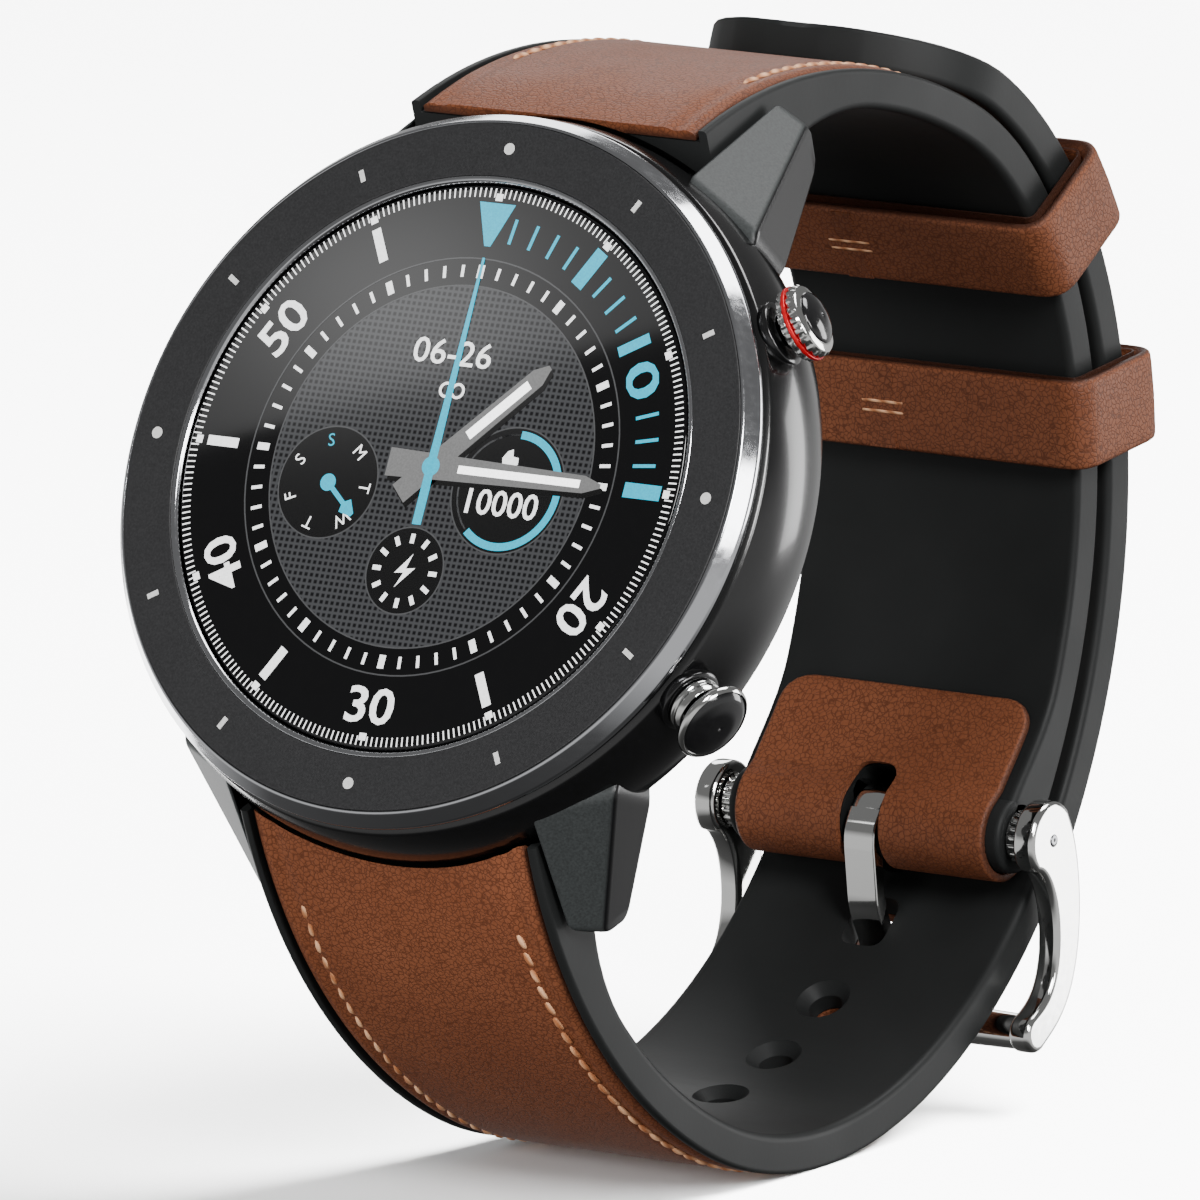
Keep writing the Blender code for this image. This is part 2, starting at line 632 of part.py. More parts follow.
def between_sides(angle):
    """Inner and outer faces of the doubled strap at an angle, with the normal and bend radius."""
    buckle = Route((angle - 1.0, angle + 1.0), BUCKLE_SIDE, 3)
    tail = Route((angle + 359.0, angle + 361.0), TAIL_SIDE, 3)
    normal = buckle.normal[1]
    inner = buckle.mid[1] - normal * STRAP_THICKNESS / 2
    nearest = tail.mid[1]
    offset = (nearest - inner) @ normal + STRAP_THICKNESS / 2
    radians = math.radians(angle)
    half_y, half_z = BUCKLE_SIDE["right"], BUCKLE_SIDE["back"]
    speed = math.hypot(half_y * math.sin(radians), half_z * math.cos(radians))
    return inner, normal, offset, speed**3 / (half_y * half_z)


def keeper_axis(name):
    """The centre of the bend that a keeper slides around."""
    inner, normal, _, bend = between_sides(KEEPER_ANGLES[name])
    y, z = inner + normal * (STRAP_THICKNESS / 2 - bend)
    return axis_empty(f"{name}_axis", (0, y, z), parent=WATCH)


def make_keeper(name):
    inner, normal, depth, _ = between_sides(KEEPER_ANGLES[name])
    along = np.array((normal[1], -normal[0]))
    empty = keeper_axis(name)
    centre = np.array(empty.location[1:]) / MM
    half = STRAP_WIDTH_END / 2 + KEEPER_CLEARANCE
    low, high = -KEEPER_CLEARANCE, depth + KEEPER_CLEARANCE
    wall = KEEPER_THICKNESS

    def ring(grow, radius):
        """A rounded rectangle in (x, distance along the normal)."""
        points = []
        for corner, start in (((1, 1), 0), ((-1, 1), 90), ((-1, -1), 180), ((1, -1), 270)):
            cx = corner[0] * (half + grow - radius)
            cn = (high + grow - radius) if corner[1] > 0 else (low - grow + radius)
            for turn in np.radians(start + np.array((0.0, 30.0, 60.0, 90.0))):
                points.append((cx + radius * math.cos(turn), cn + radius * math.sin(turn)))
        return points

    def place(x, distance, shift):
        y, z = inner + normal * distance + along * shift - centre
        return (x, y, z)

    rows = []
    outer, hollow = ring(wall, 1.6), ring(0.0, 0.45)
    for (xo, no), (xi, ni) in zip(outer, hollow):
        side = KEEPER_WIDTH / 2
        rows.append([place(xo, no, -side), place(xo, no, side), place(xi, ni, side), place(xi, ni, -side)])
    loft(name, rows, "leather", empty, closed=True)


# ---------------------------------------------------------------- the watch

clear_scene()
PARTS = new_collection("smartwatch")
CUTTERS = new_collection("cutters")

UP_Y, UP_Z = math.cos(math.radians(LEAN)), math.sin(math.radians(LEAN))
WRIST_AT = (0.0, UP_Y * WRIST_Z - UP_Z * WRIST_Y, -(UP_Y * WRIST_Y + UP_Z * WRIST_Z))
WATCH = axis_empty("watch_frame", WRIST_AT, (90.0 - LEAN, 0, 0))
BUTTON_SPOT = (
    (CASE_RADIUS - 0.05) * math.cos(math.radians(BUTTON_ANGLE)),
    (CASE_RADIUS - 0.05) * math.sin(math.radians(BUTTON_ANGLE)),
)
CROWN_AXIS = axis_empty(
    "crown_axis", (BUTTON_SPOT[0], BUTTON_SPOT[1], BUTTON_HEIGHT), (0, 90, BUTTON_ANGLE), WATCH
)
PUSHER_AXIS = axis_empty(
    "pusher_axis", (BUTTON_SPOT[0], -BUTTON_SPOT[1], BUTTON_HEIGHT), (0, 90, -BUTTON_ANGLE), WATCH
)
BUCKLE_AXIS = axis_empty("buckle_axis", (0, *BUCKLE_BAR), parent=WATCH)
TANG_AXIS = axis_empty("tang_axis", (0, *BUCKLE_BAR), parent=WATCH)

make_case_body()
make_bezel_and_glass()
make_inner_parts()
make_case_back()
make_crown()
make_pusher()
make_lug_bar("lug_bar_top", LUG_BAR_TOP)
make_lug_bar("lug_bar_bottom", LUG_BAR_BOTTOM)
CLEARANCE = case_clearance("case_clearance")
make_buckle_strap(CLEARANCE)
make_tail_strap(CLEARANCE)
make_buckle()
for keeper in KEEPER_ANGLES:
    make_keeper(keeper)
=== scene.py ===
"""Studio scene of a round smartwatch on a buckled leather and rubber strap.

Lengths are millimetres in the watch's own axes, X towards 3 o'clock, Y towards 12 o'clock and Z
out of the dial with the bezel's top at 0, until settle() writes them in metres in the shared frame.
"""

import math

import bmesh
import bpy
import numpy as np
from mathutils import Matrix, Vector


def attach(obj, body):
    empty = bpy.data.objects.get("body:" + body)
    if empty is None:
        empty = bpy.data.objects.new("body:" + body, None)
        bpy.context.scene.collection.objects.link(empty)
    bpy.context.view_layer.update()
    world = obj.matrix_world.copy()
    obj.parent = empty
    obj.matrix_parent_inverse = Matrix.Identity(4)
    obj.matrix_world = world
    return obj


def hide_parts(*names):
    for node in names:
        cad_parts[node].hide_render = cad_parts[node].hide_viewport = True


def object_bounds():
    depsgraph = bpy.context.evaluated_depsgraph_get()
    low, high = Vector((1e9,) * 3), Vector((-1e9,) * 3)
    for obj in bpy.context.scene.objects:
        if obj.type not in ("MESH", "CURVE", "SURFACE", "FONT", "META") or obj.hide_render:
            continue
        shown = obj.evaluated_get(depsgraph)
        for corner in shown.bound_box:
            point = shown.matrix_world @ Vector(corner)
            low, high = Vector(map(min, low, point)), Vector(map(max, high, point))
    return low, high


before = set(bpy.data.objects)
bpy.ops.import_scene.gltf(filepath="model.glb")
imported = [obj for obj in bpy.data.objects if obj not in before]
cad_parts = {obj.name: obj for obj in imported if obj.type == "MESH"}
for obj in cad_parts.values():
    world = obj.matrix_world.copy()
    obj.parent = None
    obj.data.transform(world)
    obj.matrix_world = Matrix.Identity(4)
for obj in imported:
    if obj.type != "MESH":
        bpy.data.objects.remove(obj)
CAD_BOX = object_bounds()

# ---------------------------------------------------------------- the watch's sizes

LEAN = math.radians(25.4)
WRIST_Y, WRIST_Z = 1.0, -33.2
BUCKLE_SIDE = {"right": 32.5, "left": 32.0, "back": 26.35, "front": 38.0}
TAIL_SIDE = {"right": 35.4, "left": 33.25, "back": 30.2, "front": 36.0}
BUCKLE_SIDE_ANGLES = (48.0, -101.0)
TAIL_SIDE_ANGLES = (131.0, 370.3)
TOP = 1.25
TRAY_DEPTH = 0.8
TIP_LENGTH = 9.0
LUG_BAR_TOP = (25.0, -11.6)
LUG_BAR_BOTTOM = (-22.8, -12.0)
BAR_Y, BAR_Z = -5.6, -58.2
LUG_LEAD, TAIL_LEAD = 5.2, 2.4
BUTTON_ANGLE = math.radians(30.0)
BUTTON_RADIUS, BUTTON_HEIGHT = 23.3, -3.8
KEEPER_ANGLES = {"keeper_upper": -27.0, "keeper_lower": -52.3}
GLASS_TOP = -0.25
# The camera's distance from the dial's centre, and the width it takes in there, in metres.
DISTANCE, FIELD = 1.245, 1.2 / 16.49

UP, OUT = math.cos(LEAN), math.sin(LEAN)
WATCH = Matrix(
    (
        (1.0, 0.0, 0.0, 0.0),
        (0.0, OUT, -UP, UP * WRIST_Z - OUT * WRIST_Y),
        (0.0, UP, OUT, -UP * WRIST_Y - OUT * WRIST_Z),
        (0.0, 0.0, 0.0, 1.0),
    )
)


def button_axes(angle):
    """A crown's or pusher's own axes: its Z points out of the case at an angle from 3 o'clock."""
    place = Matrix.Translation(
        (BUTTON_RADIUS * math.cos(angle), BUTTON_RADIUS * math.sin(angle), BUTTON_HEIGHT)
    )
    return place @ Matrix.Rotation(angle, 4, "Z") @ Matrix.Rotation(math.pi / 2, 4, "Y")


CROWN, PUSHER = button_axes(BUTTON_ANGLE), button_axes(-BUTTON_ANGLE)

# ---------------------------------------------------------------- shader helpers

NOISE, RANGE, MIX = "ShaderNodeTexNoise", "ShaderNodeMapRange", "ShaderNodeMix"
MATH, VECTOR, MAPPING = "ShaderNodeMath", "ShaderNodeVectorMath", "ShaderNodeMapping"
BUMP, ATTRIBUTE = "ShaderNodeBump", "ShaderNodeAttribute"


def tone(code):
    """An sRGB hex colour as linear red, green, blue and alpha."""
    parts = [int(code[i : i + 2], 16) / 255 for i in (1, 3, 5)]
    line = [c / 12.92 if c <= 0.04045 else ((c + 0.055) / 1.055) ** 2.4 for c in parts]
    return (*line, 1.0)


def per_mm(size):
    """A texture's scale for a grain of a size in millimetres, on coordinates in metres."""
    return 1000.0 / size


def stretch(low, high):
    """Map-range inputs that spread noise, which lies mostly in 0.25 to 0.75, over two values."""
    return {1: 0.25, 2: 0.75, 3: low, 4: high}


def feed(tree, node, inputs):
    """Gives each input its constant, or a link where the value is another node's output."""
    for key, value in inputs.items():
        if isinstance(value, bpy.types.NodeSocket):
            tree.links.new(value, node.inputs[key])
        else:
            node.inputs[key].default_value = value


def add(tree, kind, inputs=None, **settings):
    """Adds a node with its settings, constants and links."""
    made = tree.nodes.new(kind)
    for key, value in settings.items():
        setattr(made, key, value)
    feed(tree, made, inputs or {})
    return made


def new_finish(name, code, roughness, inputs=None):
    """A principled material with constants on its own sockets. Returns it, its tree, its shader
    and the Object coordinates."""
    material = bpy.data.materials.new(name)
    material.use_nodes = True
    tree = material.node_tree
    shader = tree.nodes["Principled BSDF"]
    feed(tree, shader, {"Base Color": tone(code), "Roughness": roughness, **(inputs or {})})
    return material, tree, shader, add(tree, "ShaderNodeTexCoord").outputs["Object"]


def grained(name, code, dark, roughness, grain_mm, depth_mm, spread=0.08, inputs=None):
    """A fine-grained coat, moulding or casting: tone, roughness and relief vary with one grain."""
    material, tree, shader, place = new_finish(name, code, roughness, inputs)
    grain = add(tree, NOISE, {"Vector": place, "Scale": per_mm(grain_mm), "Detail": 3.0}).outputs["Fac"]
    patch = {"Vector": place, "Scale": per_mm(grain_mm * 40), "Detail": 2.0}
    broad = add(tree, NOISE, patch).outputs["Fac"]
    shade = add(tree, RANGE, {0: grain, **stretch(0.0, 1.0)}).outputs[0]
    colours = {0: shade, 6: tone(dark), 7: tone(code)}
    gloss = add(tree, RANGE, {0: broad, **stretch(roughness - spread, roughness + spread)})
    coat = {"Base Color": add(tree, MIX, colours, data_type="RGBA").outputs[2], "Roughness": gloss.outputs[0]}
    if depth_mm:
        relief = {"Height": grain, "Strength": 0.5, "Distance": depth_mm / 1000}
        coat["Normal"] = add(tree, BUMP, relief).outputs[0]
    feed(tree, shader, coat)
    return material


# ---------------------------------------------------------------- the finishes


def leather():
    """Pull-up cowhide, drum-dyed brown: the eye gets soft pebbles split by fine creases painted dark as
    shade, broad light and dark clouds where it was handled, and raw dark fibre on its cut edges."""
    material, tree, shader, place = new_finish("cowhide_brown", "#7c4e3a", 0.5, {"Specular IOR Level": 0.18})
    warp = add(tree, NOISE, {"Vector": place, "Scale": 900.0, "Detail": 3.0}).outputs["Color"]
    shift = add(tree, VECTOR, {0: warp, "Scale": 0.0006}, operation="SCALE").outputs[0]
    bent = add(tree, VECTOR, {0: place, 1: shift}, operation="ADD").outputs[0]
    cells = {"Vector": bent, "Scale": per_mm(1 / 3)}
    creases = add(tree, "ShaderNodeTexVoronoi", cells, feature="DISTANCE_TO_EDGE").outputs["Distance"]
    crease_relief_and_shade = add(tree, RANGE, {0: creases, 2: 0.16}, interpolation_type="SMOOTHSTEP").outputs[0]
    clouds = add(tree, NOISE, {"Vector": place, "Scale": per_mm(9.0), "Detail": 3.0}).outputs["Fac"]
    fine = add(tree, NOISE, {"Vector": place, "Scale": per_mm(0.22), "Detail": 2.0}).outputs["Fac"]
    cut = add(tree, ATTRIBUTE, attribute_name="cut_edge").outputs["Fac"]
    handled = add(tree, RANGE, {0: clouds, **stretch(0.0, 1.0)}).outputs[0]
    rubbed = add(tree, RANGE, {0: fine, **stretch(0.0, 0.3)}).outputs[0]
    colour = tone("#6b3b25")
    # painted shade: the creases take the dark #5b3321; the clouds, specks and cut edges are the hide's own
    # tone
    for factor, under, over in (
        (handled, None, "#7d4a31"), (rubbed, None, "#955d42"), (crease_relief_and_shade, "#5b3321", None),
        (cut, None, "#3a2219"),
    ):
        inputs = {0: factor, 6: tone(under) if under else colour, 7: tone(over) if over else colour}
        colour = add(tree, MIX, inputs, data_type="RGBA").outputs[2]
    height = add(tree, MATH, {0: fine, 1: 0.35, 2: crease_relief_and_shade}, operation="MULTIPLY_ADD").outputs[0]
    relief = {"Height": height, "Strength": 0.45, "Distance": 0.035 / 1000}
    gloss = add(tree, RANGE, {0: clouds, **stretch(0.42, 0.6)}).outputs[0]
    feed(
        tree, shader,
        {"Base Color": colour, "Roughness": gloss, "Normal": add(tree, BUMP, relief).outputs[0]},
    )
    return material


def rubber():
    """Moulded silicone rubber: near black, soft wide sheen, with the faint orange peel and dust
    haze of a mould's skin."""
    start = {"Specular IOR Level": 0.15}
    material, tree, shader, place = new_finish("silicone_rubber_black", "#212222", 0.52, start)
    haze = add(tree, NOISE, {"Vector": place, "Scale": per_mm(14.0), "Detail": 3.0}).outputs["Fac"]
    peel = add(tree, NOISE, {"Vector": place, "Scale": per_mm(0.35), "Detail": 2.0}).outputs["Fac"]
    dust = add(tree, RANGE, {0: haze, **stretch(0.0, 1.0)}).outputs[0]
    colours = {0: dust, 6: tone("#1a1b1b"), 7: tone("#242525")}
    relief = {"Height": peel, "Strength": 0.35, "Distance": 0.012 / 1000}
    coat = {
        "Base Color": add(tree, MIX, colours, data_type="RGBA").outputs[2],
        "Roughness": add(tree, RANGE, {0: haze, **stretch(0.44, 0.6)}).outputs[0],
        "Normal": add(tree, BUMP, relief).outputs[0],
    }
    feed(tree, shader, coat)
    return material


def thread():
    """Waxed polyester thread, tan: the ply shows as slanted light and dark turns 0.3 mm apart, the dark being
    painted shade between the turns and the light a painted highlight on them.
    """
    material, tree, shader, place = new_finish("waxed_thread_tan", "#d59a6c", 0.55)
    ply = {"Vector": place, "Scale": 520.0, "Distortion": 1.5}
    turns = add(tree, "ShaderNodeTexWave", ply, bands_direction="DIAGONAL").outputs["Fac"]
    # painted shade and highlight: the ply bands go from #a8683f between the turns to #e9b489 on them
    colours = {0: turns, 6: tone("#a8683f"), 7: tone("#e9b489")}
    relief = {"Height": turns, "Strength": 0.6, "Distance": 0.05 / 1000}
    coat = {
        "Base Color": add(tree, MIX, colours, data_type="RGBA").outputs[2],
        "Normal": add(tree, BUMP, relief).outputs[0],
    }
    feed(tree, shader, coat)
    return material


def polished_steel(name, code, roughness, hairline_mm=0.4):
    """Buffed stainless steel: mirror bright, with the buffing wheel's faint hairlines."""
    material, tree, shader, place = new_finish(name, code, roughness, {"Metallic": 1.0})
    drawn = add(tree, MAPPING, {"Vector": place, "Scale": (0.15, 1.0, 1.0)}).outputs[0]
    lines = add(tree, NOISE, {"Vector": drawn, "Scale": per_mm(hairline_mm), "Detail": 4.0}).outputs["Fac"]
    relief = {"Height": lines, "Strength": 0.02, "Distance": 0.002 / 1000}
    gloss = add(tree, RANGE, {0: lines, **stretch(roughness * 0.6, roughness * 1.7)}).outputs[0]
    feed(tree, shader, {"Roughness": gloss, "Normal": add(tree, BUMP, relief).outputs[0]})
    return material


def lug_coat():
    """Black ion plating over two grounds: bead-blasted grey on the top facet, polished black on
    the sides."""
    start = {"Specular IOR Level": 0.3}
    material, tree, shader, place = new_finish("lug_black_plating", "#3c3f3f", 0.5, start)
    top = add(tree, ATTRIBUTE, attribute_name="top_facet").outputs["Fac"]
    grain = add(tree, NOISE, {"Vector": place, "Scale": per_mm(0.16), "Detail": 2.0}).outputs["Fac"]
    speckle = add(tree, RANGE, {0: grain, **stretch(0.0, 1.0)}).outputs[0]
    colours = {0: speckle, 6: tone("#2a2c2c"), 7: tone("#393c3c")}
    blasted = add(tree, MIX, colours, data_type="RGBA").outputs[2]
    plated = {0: top, 6: tone("#101011"), 7: blasted}
    relief = {"Height": grain, "Strength": 0.25, "Distance": 0.012 / 1000}
    coat = {
        "Base Color": add(tree, MIX, plated, data_type="RGBA").outputs[2],
        "Roughness": add(tree, RANGE, {0: top, 3: 0.24, 4: 0.5}).outputs[0],
        "Normal": add(tree, BUMP, relief).outputs[0],
    }
    feed(tree, shader, coat)
    return material


def dial_plane(tree, place, scale):
    """Coordinates turned so that X and Y lie in the dial's plane, times a scale."""
    settings = {"Vector": place, "Rotation": (-math.pi / 2 + LEAN, 0.0, 0.0), "Scale": scale}
    return add(tree, MAPPING, settings).outputs[0]


def woven_display():
    """The lit centre of the display: a drawn carbon weave of light threads on black. The real
    threads are 0.28 mm apart; they are drawn 0.4 mm apart so that they show."""
    start = {"Emission Strength": 1.1}
    material, tree, shader, place = new_finish("display_weave", "#060607", 0.05, start)
    flat = dial_plane(tree, place, (per_mm(0.4),) * 3)
    axes = add(tree, "ShaderNodeSeparateXYZ", {"Vector": flat}).outputs
    waves = []
    for axis in (0, 1):
        wave = add(tree, MATH, {0: axes[axis], 1: 0.5}, operation="PINGPONG").outputs[0]
        waves.append(add(tree, RANGE, {0: wave, 1: 0.1, 2: 0.32, 3: 0.0, 4: 1.0}).outputs[0])
    cells = add(tree, MATH, {0: waves[0], 1: waves[1]}, operation="MULTIPLY").outputs[0]
    colours = {0: cells, 6: tone("#4a4b4d"), 7: tone("#08080a")}
    feed(tree, shader, {"Emission Color": add(tree, MIX, colours, data_type="RGBA").outputs[2]})
    return material


def lit_ink(name, code, strength, roughness=0.08):
    """Lit display ink under the glass: an even glow of one colour, with the glass's own gloss."""
    start = {"Emission Strength": strength}
    material, tree, shader, place = new_finish(name, "#0a0a0a", roughness, start)
    flicker = add(tree, NOISE, {"Vector": place, "Scale": per_mm(0.12), "Detail": 0.0}).outputs["Fac"]
    shade = "#" + "".join(f"{int(int(code[i : i + 2], 16) * 0.93):02x}" for i in (1, 3, 5))
    level = add(tree, RANGE, {0: flicker, **stretch(0.0, 1.0)}).outputs[0]
    colours = {0: level, 6: tone(shade), 7: tone(code)}
    feed(tree, shader, {"Emission Color": add(tree, MIX, colours, data_type="RGBA").outputs[2]})
    return material


def sensor_glass():
    """Gloss black window over the pulse sensor: a faint ring and four dark red lamp spots."""
    material, tree, shader, place = new_finish("sensor_window_black", "#08080a", 0.06, {"Coat Weight": 0.6})
    centred = {0: place, 1: WATCH.translation / 1000}
    local = add(tree, VECTOR, centred, operation="SUBTRACT").outputs[0]
    flat = dial_plane(tree, local, (1000.0, 1000.0, 0.0))
    reach = add(tree, VECTOR, {0: flat}, operation="LENGTH").outputs["Value"]
    ring = add(tree, MATH, {0: reach, 1: 4.4, 2: 0.18}, operation="COMPARE").outputs[0]
    folded = add(tree, VECTOR, {0: flat}, operation="ABSOLUTE").outputs[0]
    lamp = add(tree, VECTOR, {0: folded, 1: (1.7, 1.7, 0.0)}, operation="DISTANCE").outputs["Value"]
    spot = add(tree, RANGE, {0: lamp, 1: 1.0, 2: 1.15, 3: 1.0, 4: 0.0}).outputs[0]
    ringed = add(tree, MIX, {0: ring, 6: tone("#08080a"), 7: tone("#3a3a3d")}, data_type="RGBA").outputs[2]
    lit = add(tree, MIX, {0: spot, 6: ringed, 7: tone("#3a0d0a")}, data_type="RGBA").outputs[2]
    feed(tree, shader, {"Base Color": lit})
    return material


FINISH = {
    "leather": leather(),
    "rubber": rubber(),
    "thread": thread(),
    # Black ion plating on polished steel: deep gloss with a faint spray texture.
    "gloss_black": grained(
        "black_plated_steel", "#0d0d0e", "#090909", 0.2, 0.5, 0.002, 0.04,
        {"Coat Weight": 0.35, "Coat Roughness": 0.08},
    ),
    # Bead-blasted ceramic: matte dark grey with a speckle of 0.14 mm grit.
    "bezel_matte": grained("blasted_ceramic_grey", "#29292a", "#1a1a1b", 0.5, 0.14, 0.02, 0.05),
    # Buffed steel of the buckle and the buttons: bright mirror.
    "steel": polished_steel("buffed_steel", "#dcdcda", 0.07),
    # Black chrome on screws, bars and stems: dark mirror.
    "dark_steel": polished_steel("black_chrome", "#77787a", 0.1),
    # The bezel's turned and polished edges: a slightly cooler and softer mirror.
    "edge_steel": polished_steel("bezel_polished_edge", "#c4c5c8", 0.1),
    # Inlaid enamel dots and bars: pale grey, slightly uneven.
    "enamel": grained("pale_enamel", "#d4d4d2", "#c4c4c2", 0.35, 0.2, 0.004),
    # Red anodised ring of the crown: clear red over metal.
    "red": grained("red_anodised", "#d2121d", "#b30d17", 0.25, 0.2, 0.002, 0.05, {"Metallic": 0.4}),
    # Black plated caps of the crown and the pusher: deep gloss.
    "cap_black": grained(
        "black_plated_caps", "#141415", "#0e0e0f", 0.12, 0.3, 0.001, 0.03, {"Coat Weight": 0.4}
    ),
    "lug": lug_coat(),
    # Laminated display glass: black with the clean gloss of glass.
    "display": grained("display_glass_black", "#050506", "#040405", 0.03, 0.8, 0.0, 0.01),
    "weave": woven_display(),
    "ink_white": lit_ink("lit_white", "#f4f5f5", 2.6),
    "ink_grey": lit_ink("lit_grey_lines", "#77787a", 0.6),
    "ink_black": lit_ink("lit_black_discs", "#0b0b0d", 0.5),
    "ink_cyan": lit_ink("lit_cyan", "#00d0f4", 1.35),
    "hand_grey": lit_ink("lit_hand_grey", "#9c9c9c", 0.85),
    "hand_shade": lit_ink("lit_hand_shadow", "#050506", 0.2),
    "hand_white": lit_ink("lit_hand_white", "#ffffff", 4.0),
    "sensor": sensor_glass(),
    # Glass-filled nylon back: satin black, moulded grain.
    "back": grained("glass_filled_nylon", "#17181a", "#0f1011", 0.38, 0.3, 0.01),
    # Gold plate on the charging pins: soft satin.
    "gold": grained("gold_plate", "#d9ac58", "#b98a3c", 0.25, 0.2, 0.002, 0.05, {"Metallic": 1.0}),
    # Solder mask over copper tracks: green with darker blotches.
    "board": grained("green_solder_mask", "#14542e", "#0c3a20", 0.35, 0.9, 0.02),
    # Pressed tin-plated cans: dull silver, slightly wavy.
    "can": grained("tin_plated_can", "#a9abae", "#8f9194", 0.32, 0.5, 0.004, 0.08, {"Metallic": 1.0}),
    # The battery's foil pouch: soft silver with broad wrinkles.
    "foil": grained("battery_foil", "#9a9ca0", "#7f8184", 0.4, 2.2, 0.03, 0.08, {"Metallic": 0.9}),
    # Polyimide film: amber, slightly cloudy.
    "film": grained("polyimide_film", "#a4661c", "#7d4a10", 0.3, 0.6, 0.003),
    # Moulded plastic of the inner frame, speaker and switches: even dark matte.
    "moulding": grained("moulded_abs_black", "#1c1d1e", "#131414", 0.48, 0.25, 0.01),
    # Nitrile seal rings: matte black.
    "seal": grained("nitrile_seal", "#161616", "#101010", 0.6, 0.15, 0.01),
}

# ---------------------------------------------------------------- surface helpers


def even_normals(obj):
    """Large faces keep their own direction, so that flats mirror like flats."""
    modifier = obj.modifiers.new("even_normals", "WEIGHTED_NORMAL")
    modifier.weight, modifier.keep_sharp = 90, True


def settle(name, points, faces, look, body, slot, place=None, stands_for=(), sharp=38.0, marks=None):
    """Writes points in millimetres as one finished mesh in the shared frame and rides it."""
    mesh = bpy.data.meshes.new(name)
    mesh.from_pydata(np.asarray(points, float).reshape(-1, 3), [], faces)
    for key, values in (marks or {}).items():
        mesh.attributes.new(key, "FLOAT", "POINT").data.foreach_set("value", np.ravel(values))
    bm = bmesh.new()
    bm.from_mesh(mesh)
    bmesh.ops.remove_doubles(bm, verts=bm.verts, dist=1e-4)
    loose = [edge for edge in bm.edges if not edge.link_faces]
    bmesh.ops.delete(bm, geom=loose, context="EDGES")
    bmesh.ops.recalc_face_normals(bm, faces=bm.faces)
    bm.to_mesh(mesh)
    bm.free()
    mesh.transform(Matrix.Scale(0.001, 4) @ WATCH @ (place or Matrix.Identity(4)))
    mesh.materials.append(FINISH[look])
    mesh.shade_smooth()
    mesh.set_sharp_from_angle(angle=math.radians(sharp))
    obj = bpy.data.objects.new(name, mesh)
    bpy.context.scene.collection.objects.link(obj)
    if body:
        even_normals(obj)
        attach(obj, body)
    if stands_for:
        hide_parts(*stands_for)
    return obj


def quads(rows, around, wrap_rows=False, wrap_around=True):
    """Indices of the four corners of every cell of a grid of rows, each a ring of points."""
    i = np.arange(rows if wrap_rows else rows - 1)[:, None]
    j = np.arange(around if wrap_around else around - 1)[None, :]
    after_i, after_j = (i + 1) % rows, (j + 1) % around
    corners = (i * around + j, i * around + after_j, after_i * around + after_j, after_i * around + j)
    return np.stack(np.broadcast_arrays(*corners), axis=-1).reshape(-1, 4).tolist()


def skin(name, grid, look, body, slot, closed=False, **more):
    """A closed skin over a grid of rings. Its ends are capped, or joined where closed."""
    grid = np.asarray(grid, float)
    rows, around = grid.shape[:2]
    faces = quads(rows, around, wrap_rows=closed)
    if not closed:
        faces += [list(range(around)), list(range((rows - 1) * around, rows * around))]
    return settle(name, grid, faces, look, body, slot, **more)


def fillet(corners, cut, steps=4, closed=True):
    """Rounds a polygon's corners. Each corner becomes a parabola that leaves its two sides at a
    distance cut: (1-t)^2 A + 2t(1-t) P + t^2 B."""
    corners = np.asarray(corners, float)
    before, after = np.roll(corners, 1, axis=-2), np.roll(corners, -1, axis=-2)
    cut = np.broadcast_to(np.asarray(cut, float), corners.shape[:-1])[..., None].copy()
    if not closed:
        cut[..., 0, :] = cut[..., -1, :] = 0.0
    ends = []
    for other in (before, after):
        way = other - corners
        length = np.linalg.norm(way, axis=-1, keepdims=True)
        ends.append(corners + way / np.maximum(length, 1e-9) * np.minimum(cut, length * 0.49))
    t = np.linspace(0.0, 1.0, steps)[:, None]
    first, middle, last = (part[..., None, :] for part in (ends[0], corners, ends[1]))
    arcs = (1 - t) ** 2 * first + 2 * t * (1 - t) * middle + t**2 * last
    return arcs.reshape(*corners.shape[:-2], -1, corners.shape[-1])


def turned(name, profile, look, body, slot, cut=0.12, steps=160, flutes=None, **more):
    """A closed profile of (radius, height), corners rounded by cut, turned about Z. flutes is
    (count, depth, low, high): between two heights the radius dips by depth times a raised cosine
    of count turns, sharpened to a square wave."""
    outline = fillet(profile, cut)
    angle = np.linspace(0.0, 2 * math.pi, steps, endpoint=False)[None, :]
    radius, height = (np.repeat(outline[:, i : i + 1], steps, axis=1) for i in (0, 1))
    if flutes:
        count, depth, low, high = flutes
        ridge = 0.5 - 0.5 * np.tanh(3.0 * np.cos(count * angle))
        inside = (height > low) & (height < high) & (radius > outline[:, 0].max() * 0.85)
        radius = radius - depth * ridge * inside
    grid = np.stack([radius * np.cos(angle), radius * np.sin(angle), height], axis=-1)
    return skin(name, grid, look, body, slot, closed=True, **more)


def prisms(outlines, low, high):
    """Points and faces of many upright prisms, from an array of (count, corners, 2)."""
    outlines = np.asarray(outlines, float)
    count, corners = outlines.shape[:2]
    floor = np.concatenate([outlines, np.full((count, corners, 1), low)], axis=2)
    roof = np.concatenate([outlines, np.full((count, corners, 1), high)], axis=2)
    points = np.concatenate([floor, roof], axis=1).reshape(-1, 3)
    j = np.arange(corners)
    side = np.stack([j, (j + 1) % corners, (j + 1) % corners + corners, j + corners], axis=1)
    start = np.arange(count)[:, None, None] * 2 * corners
    faces = (side[None] + start).reshape(-1, 4).tolist()
    for shift, order in ((0, j[::-1]), (corners, j)):
        faces += (order[None] + shift + start[:, :, 0]).tolist()
    return points, faces


def join(*groups):
    """Several (points, faces) groups as one."""
    points, faces, start = [], [], 0
    for some_points, some_faces in groups:
        points.append(np.asarray(some_points, float).reshape(-1, 3))
        faces += [[index + start for index in face] for face in some_faces]
        start += len(points[-1])
    return np.concatenate(points), faces


